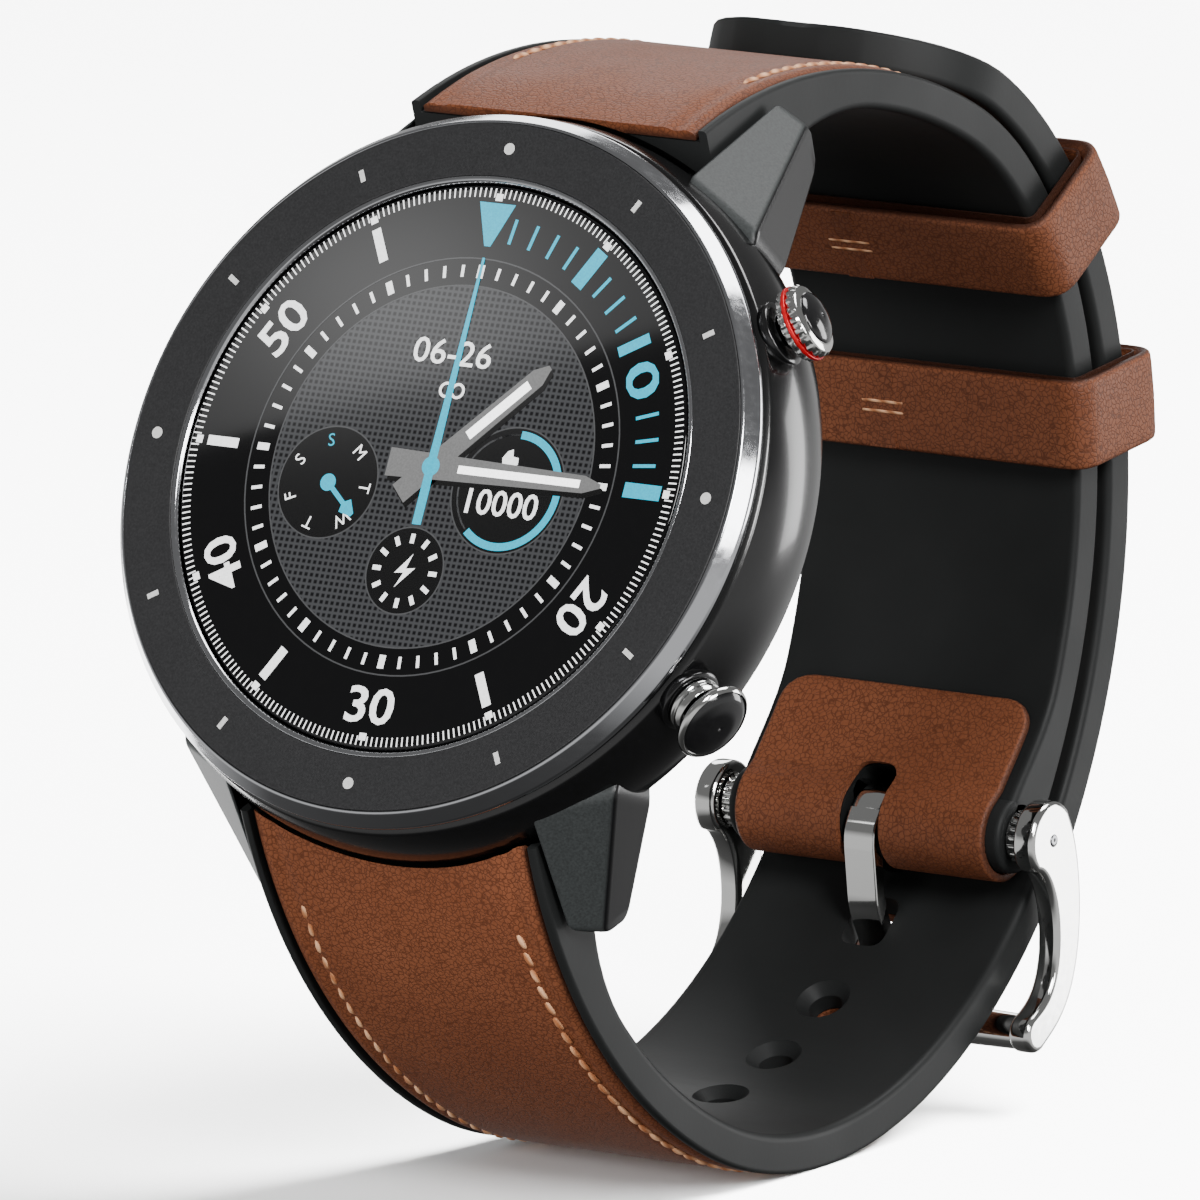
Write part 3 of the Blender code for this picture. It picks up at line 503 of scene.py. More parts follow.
def carve(obj, cutters, keep_sharp=38.0):
    """Cuts solids from a piece and keeps the result as its mesh."""
    obj.modifiers.clear()
    for cutter in cutters:
        modifier = obj.modifiers.new("cut", "BOOLEAN")
        modifier.solver = "EXACT"
        modifier.object = cutter
    bpy.context.view_layer.update()
    evaluated = obj.evaluated_get(bpy.context.evaluated_depsgraph_get())
    mesh = bpy.data.meshes.new_from_object(evaluated)
    obj.modifiers.clear()
    obj.data = mesh
    mesh.shade_smooth()
    mesh.set_sharp_from_angle(angle=math.radians(keep_sharp))
    even_normals(obj)


def discard(objects):
    for obj in objects:
        bpy.data.objects.remove(obj, do_unlink=True)


# ---------------------------------------------------------------- the strap's route


def oval(angle, side):
    """The strap's mid-line: from the wrist's centre, half axis times cosine along Y and half axis
    times sine along Z, with a half axis of its own in each quarter."""
    cosine, sine = np.cos(np.radians(angle)), np.sin(np.radians(angle))
    along_y = np.where(cosine > 0, side["right"], side["left"])
    along_z = np.where(sine > 0, side["front"], side["back"])
    return np.stack([WRIST_Y + along_y * cosine, WRIST_Z + along_z * sine], axis=-1)


class Route:
    """Points, outward normals and distance along one strap."""

    def __init__(self, angles, side, count=400):
        self.mid = oval(np.linspace(*angles, count), side)
        tangent = np.gradient(self.mid, axis=0)
        tangent /= np.linalg.norm(tangent, axis=1)[:, None]
        normal = np.stack([tangent[:, 1], -tangent[:, 0]], axis=1)
        outward = np.sign(((self.mid - (WRIST_Y, WRIST_Z)) * normal).sum(axis=1))
        self.normal = normal * outward[:, None]
        steps = np.linalg.norm(np.diff(self.mid, axis=0), axis=1)
        self.along = np.concatenate([[0.0], np.cumsum(steps)])
        self.length = self.along[-1]

    def at(self, distance):
        """Points and unit normals at distances from the lug."""
        columns = np.concatenate([self.mid, self.normal], axis=1)
        rows = np.stack([np.interp(distance, self.along, columns[:, i]) for i in range(4)], axis=-1)
        normal = rows[..., 2:] / np.linalg.norm(rows[..., 2:], axis=-1, keepdims=True)
        return rows[..., :2], normal

    def lay(self, distance, across, offset):
        """(x, y, z) of points at a distance, across the strap, and out from its mid-line."""
        distance, across, offset = np.broadcast_arrays(distance, across, offset)
        point, normal = self.at(distance)
        place = point + normal * offset[..., None]
        return np.concatenate([across[..., None], place], axis=-1)


def half_width(along):
    return (21.8 - 1.4 * np.minimum(along / 45.0, 1.0)) / 2


def lug_swell(along):
    return 3.2 * np.maximum(0.0, 1.0 - np.maximum(along, 0.0) / 14.0) ** 2


BUCKLE_ROUTE = Route(BUCKLE_SIDE_ANGLES, BUCKLE_SIDE)
TAIL_ROUTE = Route(TAIL_SIDE_ANGLES, TAIL_SIDE)


def buckle_half(along, inset):
    return half_width(along) - inset


def tail_half(along, inset):
    """Half width of the tail, less an inset, with an elliptical tip."""
    into = np.maximum((along - TAIL_ROUTE.length + TIP_LENGTH) / (TIP_LENGTH + 0.25 - inset), 0.0)
    return (half_width(along) - inset) * np.sqrt(np.maximum(1.0 - into**2, 0.01))


def buckle_inner(along):
    rise = np.clip((along - BUCKLE_ROUTE.length + 9.5) / 9.5, 0.0, 1.0)
    return -TOP - lug_swell(along - LUG_LEAD) - 1.35 * rise * rise * (3 - 2 * rise)


def tail_inner(along):
    return -TOP - 1.35 * lug_swell(along - TAIL_LEAD)


# ---------------------------------------------------------------- straps


def case_cutter():
    """The case's outline, 0.32 mm larger, which shapes the curved ends of the straps."""
    heights = np.linspace(-1.65, -8.4, 12)
    side = [(23.67 - 0.0579 * (z + 5.0) ** 2, z) for z in heights]
    foot = [(22.22, -9.5), (21.3, -10.3), (21.3, -11.6), (0.0, -11.6)]
    outline = [(0.0, 0.5), (23.7, 0.5), *side, *foot]
    return turned("case_cutter", outline, "rubber", None, None, cut=0.0, steps=180)


def rod(name, start, end, radius, sides=32, flare=None):
    """A round bar between two points; flare is (radius, length) of a wider first stretch."""
    start, end = Vector(start), Vector(end)
    length = (end - start).length
    outline = [(0.0, 0.0), (radius, 0.0), (radius, length), (0.0, length)]
    if flare:
        outline[1:2] = [(flare[0], 0.0), (flare[0], flare[1][0]), (radius, flare[1][1])]
    place = Matrix.Translation(start) @ (end - start).to_track_quat("Z", "Y").to_matrix().to_4x4()
    return turned(name, outline, "rubber", None, None, cut=0.0, steps=sides, place=place)


def strap_rubber(name, route, half, inner, tray_end, node):
    """The moulded strap: a channel section of eight rounded corners carried along the route."""
    extra = [tray_end, tray_end + 0.3, route.length - 0.35, route.length]
    along = np.unique(np.concatenate([np.arange(0.0, route.length, 1.1), extra]))
    width, low, tray = half(along, 0.0), inner(along), half(along, 0.6)
    floor = np.where(along <= tray_end, TOP - TRAY_DEPTH, TOP - 0.01)
    shrink = np.where(along > route.length - 0.1, 0.35, 0.0)
    width, tray = width - shrink, tray - shrink
    top, low = TOP - shrink, low + shrink
    floor = np.minimum(floor, top - 0.01)
    corners = np.stack(
        [
            np.stack(pair, axis=-1)
            for pair in (
                (-width, low), (width, low), (width, top), (tray, top), (tray, floor), (-tray, floor),
                (-tray, top), (-width, top),
            )
        ],
        axis=1,
    )
    rounding = np.array([0.55, 0.55, 0.3, 0.12, 0.05, 0.05, 0.12, 0.3])
    ring = fillet(corners, rounding, steps=5)
    grid = route.lay(along[:, None], ring[..., 0], ring[..., 1])
    return skin(name, grid, "rubber", "case", "strap_rubber", stands_for=[node], sharp=50.0)


def strap_leather(name, route, half, start, end, node, crown):
    """The padded leather: across the strap its top follows a flat crown that dips by a narrow bell
    curve at each stitch line, and rounds off to the sides."""
    along = np.unique(np.concatenate([np.arange(start, end, 0.8), [end - 0.25, end]]))
    width = half(along, 0.9)[:, None] - np.where(along > end - 0.1, 0.25, 0.0)[:, None]
    t = np.linspace(-1.0, 1.0, 41)[None, :]
    x = width * np.sign(t) * (1 - (1 - np.abs(t)) ** 1.35)
    edge = width - np.abs(x)
    swell = crown * np.minimum(along / 4.0, 1.0)[:, None]
    top = TOP - 0.3 + (0.3 + swell) * (1 - np.exp(-edge / 0.35))
    top = top - 0.2 * np.exp(-(((edge - 1.35) / 0.35) ** 2))
    low = np.full_like(top, TOP - TRAY_DEPTH + 0.12)
    ring_x = np.concatenate([x, x[:, ::-1]], axis=1)
    ring_n = np.concatenate([top, low[:, ::-1]], axis=1)
    grid = route.lay(along[:, None], ring_x, ring_n)
    raw = np.concatenate([np.exp(-edge / 0.12) * 0.8, np.ones_like(low)], axis=1)
    return skin(
        name, grid, "leather", "case", "strap_leather", stands_for=[node], sharp=60.0,
        marks={"cut_edge": raw},
    )


def stitch_run(route, line, spacing=1.4, length=1.3, radius=0.21):
    """Stitches along a line of (distance, across, offset) points: each is a low arch of a round
    thread, a ring of six points carried over seven rows and pinched at its ends."""
    line = np.asarray(line, float)
    flat = route.lay(line[:, 0], line[:, 1], line[:, 2])
    steps = np.concatenate([[0.0], np.cumsum(np.linalg.norm(np.diff(flat, axis=0), axis=1))])
    starts = np.arange(0.3, steps[-1] - length, spacing)
    t = np.linspace(0.0, 1.0, 7)
    here = starts[:, None] + t[None, :] * length
    fields = [np.interp(here, steps, line[:, i]) for i in range(3)]
    fields[1] = fields[1] + 0.2 * (t - 0.5)[None, :]
    rise = 0.06 * np.sin(math.pi * t)[None, :] - 0.06
    core = route.lay(fields[0], fields[1], fields[2] + rise)
    way = np.gradient(core, axis=1)
    way /= np.linalg.norm(way, axis=2, keepdims=True)
    normal = route.at(fields[0])[1]
    up = np.concatenate([np.zeros((*normal.shape[:2], 1)), normal], axis=2)
    side = np.cross(way, up)
    turn = np.linspace(0.0, 2 * math.pi, 6, endpoint=False)
    thick = radius * (0.35 + 0.65 * np.sin(math.pi * t) ** 0.5)[None, :, None, None]
    around = (
        side[:, :, None] * np.cos(turn)[None, None, :, None] * 1.1
        + up[:, :, None] * np.sin(turn)[None, None, :, None] * 0.8
    )
    grid = core[:, :, None] + around * thick
    one = quads(7, 6) + [list(range(6)), list(range(36, 42))]
    return join(*[(piece, one) for piece in grid])


def stitches(name, groups):
    settle(name, *join(*groups), "thread", "case", "strap_leather", sharp=80.0)


def stitch_line(half, start, end, offset, side, inset=2.25):
    along = np.arange(start, end, 0.5)
    return np.stack([along, side * half(along, inset), np.full_like(along, offset)], axis=1)


def make_straps():
    case = case_cutter()
    tunnel_top = rod("tunnel_top", (-12.0, *LUG_BAR_TOP), (12.0, *LUG_BAR_TOP), 0.95)
    tunnel_low = rod("tunnel_low", (-12.0, *LUG_BAR_BOTTOM), (12.0, *LUG_BAR_BOTTOM), 0.95)
    tunnel_bar = rod("tunnel_bar", (-12.0, BAR_Y, BAR_Z), (12.0, BAR_Y, BAR_Z), 1.15)
    slot = slot_cutter()
    tray_end = BUCKLE_ROUTE.length - 3.6
    rubber_top = strap_rubber(
        "buckle_strap_body", BUCKLE_ROUTE, buckle_half, buckle_inner, tray_end, "buckle_strap_rubber"
    )
    carve(rubber_top, [case, tunnel_top, tunnel_bar, slot])
    turned(
        "strap_end_barrel", [(1.15, -10.2), (2.4, -10.2), (2.4, 10.2), (1.15, 10.2)], "rubber", "case",
        "strap_rubber", cut=0.4, place=bar_place(),
    )
    carve(bpy.data.objects["strap_end_barrel"], [slot])
    leather_top = strap_leather(
        "buckle_strap_hide", BUCKLE_ROUTE, buckle_half, 0.0, tray_end - 0.3, "buckle_strap_leather", 0.22
    )
    carve(leather_top, [case], 60.0)
    stitches(
        "buckle_strap_stitches",
        [
            stitch_run(BUCKLE_ROUTE, stitch_line(buckle_half, 7.5, tray_end - 1.5, TOP + 0.13, side))
            for side in (-1, 1)
        ],
    )
    tail_end = TAIL_ROUTE.length - 0.9
    rubber_tail = strap_rubber(
        "tail_strap_body", TAIL_ROUTE, tail_half, tail_inner, tail_end, "tail_strap_rubber"
    )
    holes = hole_cutters()
    carve(rubber_tail, [case, tunnel_low, *holes])
    leather_tail = strap_leather(
        "tail_strap_hide", TAIL_ROUTE, tail_half, 0.0, tail_end - 0.3, "tail_strap_leather", 0.05
    )
    carve(leather_tail, [case, *holes], 60.0)
    make_tail_stitches()
    make_buckle_wrap(slot)
    discard([case, tunnel_top, tunnel_low, tunnel_bar, slot, *holes])


def make_tail_stitches():
    """Two rows that run up the tail and meet round its tip."""
    end = TAIL_ROUTE.length - 3.2
    along = np.arange(5.9, end, 0.5)
    width = np.minimum(tail_half(along, 2.25), 8.0 * np.sqrt(np.clip((end - along) / 6.0, 0.0, 1.0)))
    offset = np.full_like(along, TOP - 0.03)
    right = np.stack([along, width, offset], axis=1)
    left = right[::-1] * (1.0, -1.0, 1.0)
    whole = np.concatenate([right, left])
    stitches("tail_strap_stitches", [stitch_run(TAIL_ROUTE, whole)])


def hole_cutters():
    """The adjusting holes, wider at the inner face, and the long one that the pin is in."""
    behind = np.nonzero(TAIL_ROUTE.mid[:, 1] < WRIST_Z)[0]
    first = np.interp(-13.0, TAIL_ROUTE.mid[behind, 0], TAIL_ROUTE.along[behind])
    cutters = []
    for step in range(-3, 4):
        point, normal = TAIL_ROUTE.at(first + step * 6.4)
        start, end = point - normal * 3.0, point + normal * 4.0
        if step:
            flare = (1.8, (1.72, 2.4))
            cutters.append(rod(f"hole_{step}", (0, *start), (0, *end), 1.1, flare=flare))
            continue
        along = np.array((normal[1], -normal[0]))
        outline = fillet([(-1.55, -2.5), (1.55, -2.5), (1.55, 1.3), (-1.55, 1.3)], 1.0, steps=6)
        rows = [[(x, *(point + along * a + normal * n)) for x, a in outline] for n in (-4.0, 4.0)]
        cutters.append(skin("hole_pin", rows, "rubber", None, None))
    return cutters


def bar_place():
    """Axes whose Z lies along the buckle bar."""
    return Matrix.Translation((0.0, BAR_Y, BAR_Z)) @ Matrix.Rotation(math.pi / 2, 4, "Y")


def slot_cutter():
    """The slot in the strap's end that the pin swings in, with rounded ends."""
    outline = fillet([(-1.6, -4.0), (1.6, -4.0), (1.6, 3.2), (-1.6, 3.2)], 1.2, steps=6)
    rows = [[(x, BAR_Y + y, BAR_Z + z) for x, y in outline] for z in (-5.0, 6.0)]
    return skin("slot_cutter", rows, "rubber", None, None)


def make_buckle_wrap(slot):
    """The leather patch: a flat band laid on the strap's inner face and round the barrel. Its
    width closes in a quarter circle at the patch's end, and its edges are rounded."""
    back = np.concatenate([[8.2, 8.1, 7.8, 7.3, 6.8, 6.2], np.arange(5.6, 1.5, -0.5), [1.5]])
    along = BUCKLE_ROUTE.length - back
    point, normal = BUCKLE_ROUTE.at(along)
    flat = point + normal * (buckle_inner(along) - 0.2)[:, None]
    turn = np.radians(np.linspace(62.0, 292.0, 40))
    round_way = np.stack([np.cos(turn), np.sin(turn)], axis=1)
    path = np.concatenate([flat, (BAR_Y, BAR_Z) + round_way * 2.52])
    way = np.concatenate([-normal, round_way])
    into = np.concatenate([8.2 - back, np.full(len(turn), 99.0)])
    half = 9.3 - 2.0 + np.sqrt(np.maximum(4.0 - np.maximum(2.0 - into, 0.0) ** 2, 0.0))
    thick = 0.5 * np.minimum(1.0, 0.45 + into)
    corners = np.stack(
        [
            np.stack(pair, axis=-1)
            for pair in ((-half, 0 * half), (half, 0 * half), (half, thick), (-half, thick))
        ],
        axis=1,
    )
    ring = fillet(corners, [0.05, 0.05, 0.3, 0.3], steps=4)
    place = path[:, None] + way[:, None] * ring[..., 1:]
    grid = np.concatenate([ring[..., :1], place], axis=2)
    raw = np.clip(1.0 - (half[:, None] - np.abs(ring[..., 0])) / 0.12, 0.0, 1.0) * 0.7
    wrap = skin(
        "buckle_wrap_hide", grid, "leather", "case", "strap_leather", stands_for=["buckle_wrap_leather"],
        sharp=60.0, marks={"cut_edge": raw},
    )
    carve(wrap, [slot], 60.0)


# ---------------------------------------------------------------- keepers


def make_keeper(name):
    """A leather loop: a rounded rectangle round both straps, carrying a flat section whose outer
    face is slightly crowned. The skived cut edges are marked raw."""
    angle = KEEPER_ANGLES[name]
    buckle = Route((angle - 1.0, angle + 1.0), BUCKLE_SIDE, 3)
    tail = Route((angle + 359.0, angle + 361.0), TAIL_SIDE, 3)
    normal = buckle.normal[1]
    along = np.array((normal[1], -normal[0]))
    inner = buckle.mid[1] - normal * TOP
    depth = (tail.mid[1] - inner) @ normal + TOP
    half, low, high = 10.6, -0.4, depth + 0.4
    dense = []
    for grow in (0.0, 1.2):
        wide, below, above = half + grow, low - grow, high + grow
        box = [(wide, below), (wide, above), (-wide, above), (-wide, below)]
        loop = fillet(box, 0.5 + grow * 1.15, steps=9)
        steps = np.linspace(0, 1, 13)[:, None]
        after = np.roll(loop, -1, axis=0)
        long_side = np.linalg.norm(after - loop, axis=1) > 2.5
        rows = []
        for start, end, split in zip(loop, after, long_side):
            rows.append(start + (end - start) * steps[:-1] if split else start[None])
        dense.append(np.concatenate(rows))
    hollow, outer = dense
    box = [(-2.9, 0.0), (2.9, 0.0), (2.9, 1.0), (-2.9, 1.0)]
    section = fillet(box, [0.15, 0.15, 0.35, 0.35], steps=4)
    extra = np.array([(2.0, 1.0), (0.0, 1.0), (-2.0, 1.0)])
    section = np.concatenate([section[:12], extra, section[12:], [(-2.0, 0.0), (0.0, 0.0), (2.0, 0.0)]])
    section[:, 1] += 0.08 * section[:, 1] * (1 - (section[:, 0] / 2.9) ** 2)
    across = hollow[:, None, :] + (outer - hollow)[:, None, :] * section[None, :, 1:]
    place = inner + normal * across[..., 1:] + along * section[None, :, :1]
    grid = np.concatenate([across[..., :1], place], axis=2)
    raw = np.repeat(np.clip((np.abs(section[:, 0]) - 2.78) / 0.1, 0.0, 1.0)[None], len(hollow), axis=0)
    skin(
        f"{name}_hide", grid, "leather", name, "strap_leather", closed=True, stands_for=[name],
        sharp=60.0, marks={"cut_edge": raw},
    )
    make_keeper_seam(name, inner, normal, along)


def make_keeper_seam(name, inner, normal, along):
    """The lapped joint on the inner face: a thin raised step and two long tacking stitches."""
    level = -1.64

    def place(x, shift, out):
        spot = inner + normal * out + along * shift
        return (x, spot[0], spot[1])

    groups = []
    for shift in (-0.3, 0.35):
        steps = np.linspace(-1.0, 1.0, 9)
        turn = np.linspace(0.0, 2 * math.pi, 6, endpoint=False)
        rows = []
        for t in steps:
            thick = 0.16 * math.sqrt(max(1.0 - t**4, 0.02))
            rows.append(
                [
                    place(-3.2 + 2.0 * t, shift + thick * math.cos(a), level + 0.06 + thick * math.sin(a))
                    for a in turn
                ]
            )
        groups.append((np.array(rows), quads(9, 6) + [list(range(6)), list(range(48, 54))]))
    settle(f"{name}_tacks", *join(*groups), "thread", name, "strap_leather", sharp=80.0)
    box = ((-2.7, 0.1), (2.7, 0.1), (2.7, -0.05), (-2.7, -0.05))
    lap = np.array([[place(x, shift, level + out) for shift, out in box] for x in (-4.0, -2.4)])
    lap[0, :, 0] += (lap[0, :, 1] - lap[0, :, 1].mean()) * 0.15
    worn = {"cut_edge": np.full((2, 4), 0.1)}
    skin(f"{name}_lap", lap, "leather", name, "strap_leather", marks=worn)


# ---------------------------------------------------------------- buckle


def smooth_line(knots, count):
    """A curve through every knot: the polynomial of the lowest power that meets them all."""
    knots = np.asarray(knots, float)
    spots_at = np.linspace(0.0, 1.0, len(knots))
    fine = np.linspace(0.0, 1.0, count)
    return np.stack(
        [np.polyval(np.polyfit(spots_at, knots[:, i], len(knots) - 1), fine) for i in range(knots.shape[1])],
        axis=1,
    )


def arm_side(count=48):
    """Side view of a buckle arm, closed: the centre line plus and minus its half height, with a
    round ear about the bar."""
    knots = [(0.0, 0.0, 2.5), (-2.7, -3.2, 1.6), (-6.4, -4.9, 1.3), (-9.4, -4.9, 1.2), (-11.6, -3.7, 1.25)]
    line = smooth_line(knots, count)
    tangent = np.gradient(line[:, :2], axis=0)
    tangent /= np.linalg.norm(tangent, axis=1)[:, None]
    normal = np.stack([-tangent[:, 1], tangent[:, 0]], axis=1)
    turn = np.radians(np.linspace(12.0, 168.0, 20))[:, None]
    ear = line[0, :2] + 2.5 * (normal[0] * np.cos(turn) - tangent[0] * np.sin(turn))
    end = line[-1, :2] + 1.25 * (tangent[-1] * np.sin(turn) - normal[-1] * np.cos(turn))
    upper = line[:, :2] + normal * line[:, 2:]
    lower = line[:, :2] - normal * line[:, 2:]
    return np.concatenate([upper[::-1], ear, lower, end])


def pillow(outline, low, high, soft):
    """Rings of a flat plate with rounded edges: the outline moves in by soft times one minus
    sine while it crosses the edge by soft times one minus cosine."""
    ahead = np.roll(outline, -1, axis=0) - np.roll(outline, 1, axis=0)
    normal = np.stack([ahead[:, 1], -ahead[:, 0]], axis=1)
    normal /= np.maximum(np.linalg.norm(normal, axis=1), 1e-9)[:, None]
    area = np.sum(outline[:, 0] * np.roll(outline[:, 1], -1) - np.roll(outline[:, 0], -1) * outline[:, 1])
    normal *= np.sign(area)
    turn = np.radians(np.linspace(0.0, 90.0, 5))
    first = [(low + soft * (1 - math.sin(a)), soft * (1 - math.cos(a))) for a in turn[::-1]]
    last = [(high - soft * (1 - math.sin(a)), soft * (1 - math.cos(a))) for a in turn]
    rings = []
    for x, inset in first + last:
        ring = outline - normal * inset
        rings.append(np.concatenate([np.full((len(ring), 1), x), ring], axis=1))
    return np.array(rings)


def make_buckle():
    place = Matrix.Translation((0.0, BAR_Y, BAR_Z))
    outline = arm_side()
    groups = []
    for low, high in ((11.2, 12.8), (-12.8, -11.2)):
        rings = pillow(outline, low, high, 0.42)
        count = rings.shape[1]
        caps = [list(range(count)), list(range(9 * count, 10 * count))]
        groups.append((rings, quads(10, count) + caps))
    settle(
        "buckle_arms", *join(*groups), "steel", "buckle_frame", "steel", place=place, sharp=42.0,
        stands_for=["buckle_frame"],
    )
    x = np.linspace(-12.0, 12.0, 25)
    turn = np.linspace(0.0, 2 * math.pi, 28, endpoint=False)
    tall = 1.12 + 0.12 * (1 - (x / 12.0) ** 2)
    rows = np.stack(
        [
            np.repeat(x[:, None], 28, axis=1),
            -11.6 + tall[:, None] * np.cos(turn),
            -3.7 + 0.85 * tall[:, None] * np.sin(turn),
        ],
        axis=-1,
    )
    skin("buckle_crossbar", rows, "steel", "buckle_frame", "steel", place=place)
    for side in (-1, 1):
        name = "right" if side > 0 else "left"
        flip = bar_place() @ Matrix.Scale(side, 4, (0, 0, 1))
        turned(
            f"bar_collar_{name}", [(0.9, 10.28), (1.75, 10.28), (1.75, 11.1), (0.9, 11.1)], "steel",
            "case", "steel", cut=0.12, steps=144, flutes=(18, 0.22, 10.4, 11.0), place=flip,
        )
        turned(
            f"bar_end_{name}", [(0.0, 12.5), (0.42, 12.5), (0.42, 12.86), (0.0, 12.86)], "dark_steel",
            "case", "steel", cut=0.1, steps=32, place=flip,
        )
    make_tang(place)


def make_tang(place):
    """The pin: an eye on the bar, then a flat bar whose rounded rectangular section follows a bent
    centre line out through the tail's hole."""
    turned(
        "tang_eye", [(1.05, -1.15), (2.1, -1.15), (2.1, 1.15), (1.05, 1.15)], "steel", "buckle_tang",
        "steel", cut=0.25, steps=72, place=place @ Matrix.Rotation(math.pi / 2, 4, "Y"),
        stands_for=["buckle_tang"],
    )
    knots = [(0.0, 1.75), (-1.5, 1.95), (-5.7, -0.75), (-7.3, -3.0), (-9.0, -3.98)]
    line = fillet(np.array(knots), 1.0, steps=6, closed=False)
    keep = np.concatenate([[True], np.linalg.norm(np.diff(line, axis=0), axis=1) > 1e-4])
    line = line[keep]
    way = np.gradient(line, axis=0)
    way /= np.linalg.norm(way, axis=1)[:, None]
    normal = np.stack([-way[:, 1], way[:, 0]], axis=1)
    section = fillet([(-1.15, -0.5), (1.15, -0.5), (1.15, 0.5), (-1.15, 0.5)], 0.16, steps=4)
    taper = np.ones(len(line))
    taper[-1] = 0.7
    across = section[None] * taper[:, None, None]
    spot = line[:, None] - normal[:, None] * across[..., 1:]
    grid = np.concatenate([across[..., :1], spot], axis=2)
    skin("tang_arm", grid, "steel", "buckle_tang", "steel", place=place, sharp=30.0)


# ---------------------------------------------------------------- case


def make_case():
    heights = np.linspace(-1.95, -8.4, 22)
    side = [(23.35 - 0.0579 * (z + 5.0) ** 2, z) for z in heights]
    foot = [(21.9, -9.5), (21.0, -10.0), (20.3, -10.0), (20.3, -2.15), (18.1, -2.15)]
    turned(
        "case_barrel", [(18.1, -1.65), (22.3, -1.65), *side, *foot], "gloss_black", "case", "case_black",
        cut=0.14, steps=240, stands_for=["case_body"],
    )
    face = [(18.45, 0.0), (21.8, 0.0), (21.8, -1.3), (18.45, -1.3)]
    turned(
        "bezel_face", face, "bezel_matte", "case", "bezel_grey", cut=0.08, steps=240,
        stands_for=["bezel_ring"],
    )
    chamfer = [(21.82, -0.03), (22.0, -0.1), (22.65, -1.0), (22.65, -1.35), (21.82, -1.35)]
    turned("bezel_chamfer", chamfer, "edge_steel", "case", "bezel_grey", cut=0.1, steps=240)
    lip = [(18.02, -0.3), (18.16, -0.1), (18.44, -0.03), (18.44, -1.3), (18.02, -1.3)]
    turned("bezel_lip", lip, "edge_steel", "case", "bezel_grey", cut=0.06, steps=240)
    make_lugs()
    for name, place in (("crown", CROWN), ("pusher", PUSHER)):
        tube = [(1.12, -0.6), (2.1, -0.6), (2.1, 0.02), (1.8, 0.16), (1.12, 0.16)]
        turned(
            f"{name}_seat", tube, "gloss_black", "case", "case_black", cut=0.1, steps=64, place=place
        )


def make_lugs():
    """Four lugs: each a four-cornered section with rounded edges that shrinks from the barrel to
    the tip, carried along straight facets."""
    stations = np.array(
        [
            [(0.0, 15.0, -3.6), (4.4, 14.0, -4.8), (4.2, 15.0, -8.5), (0.0, 15.0, -6.4)],
            [(0.0, 20.5, -3.0), (4.8, 17.8, -4.6), (4.2, 17.0, -9.6), (0.0, 18.35, -9.95)],
            [(0.0, 27.6, -10.2), (1.5, 26.8, -12.0), (1.4, 24.3, -14.3), (0.0, 22.2, -14.4)],
        ]
    )
    tip = stations[2] + (stations[2].mean(axis=0) - stations[2]) * 0.3
    tip += np.array((0.15, 0.35, -0.32))
    tip[:, 0] = np.maximum(tip[:, 0], 0.12)
    stations = np.concatenate([stations, tip[None]])
    for side in (1, -1):
        for end, reach in ((1, 1.0), (-1, 7.3 / 9.6)):
            shape = stations.copy()
            beyond = shape[..., 1] > 18.0
            shape[..., 1] = np.where(beyond, 18.0 + (shape[..., 1] - 18.0) * reach, shape[..., 1])
            shape[..., 0] = side * (shape[..., 0] + 11.2)
            shape[..., 1] *= end
            rings = fillet(shape, 0.42, steps=5)
            grid = fillet(rings.transpose(1, 0, 2), 0.5, steps=5, closed=False).transpose(1, 0, 2)
            top = np.zeros((len(grid), 20))
            top[:, 2:7] = 1.0
            where = ("right" if side > 0 else "left") + ("_top" if end > 0 else "_bottom")
            skin(
                f"lug_{where}", grid, "lug", "case", "case_black", marks={"top_facet": top}, sharp=24.0
            )


def make_bezel_marks():
    """Four dots at the quarters and eight short bars between them, raised by a hair."""
    turn = np.linspace(0.0, 360.0, 24, endpoint=False)
    dots = [clock(20.2, quarter) + clock(0.37, 90.0 - turn) for quarter in (0, 90, 180, 270)]
    minutes = [m for m in range(0, 60, 5) if m % 15]
    groups = [prisms(marks, -0.2, 0.03) for marks in (dots, radial_bars(minutes, 19.8, 20.6, 0.34))]
    settle("bezel_marks", *join(*groups), "enamel", "case", "bezel_grey", sharp=30.0)


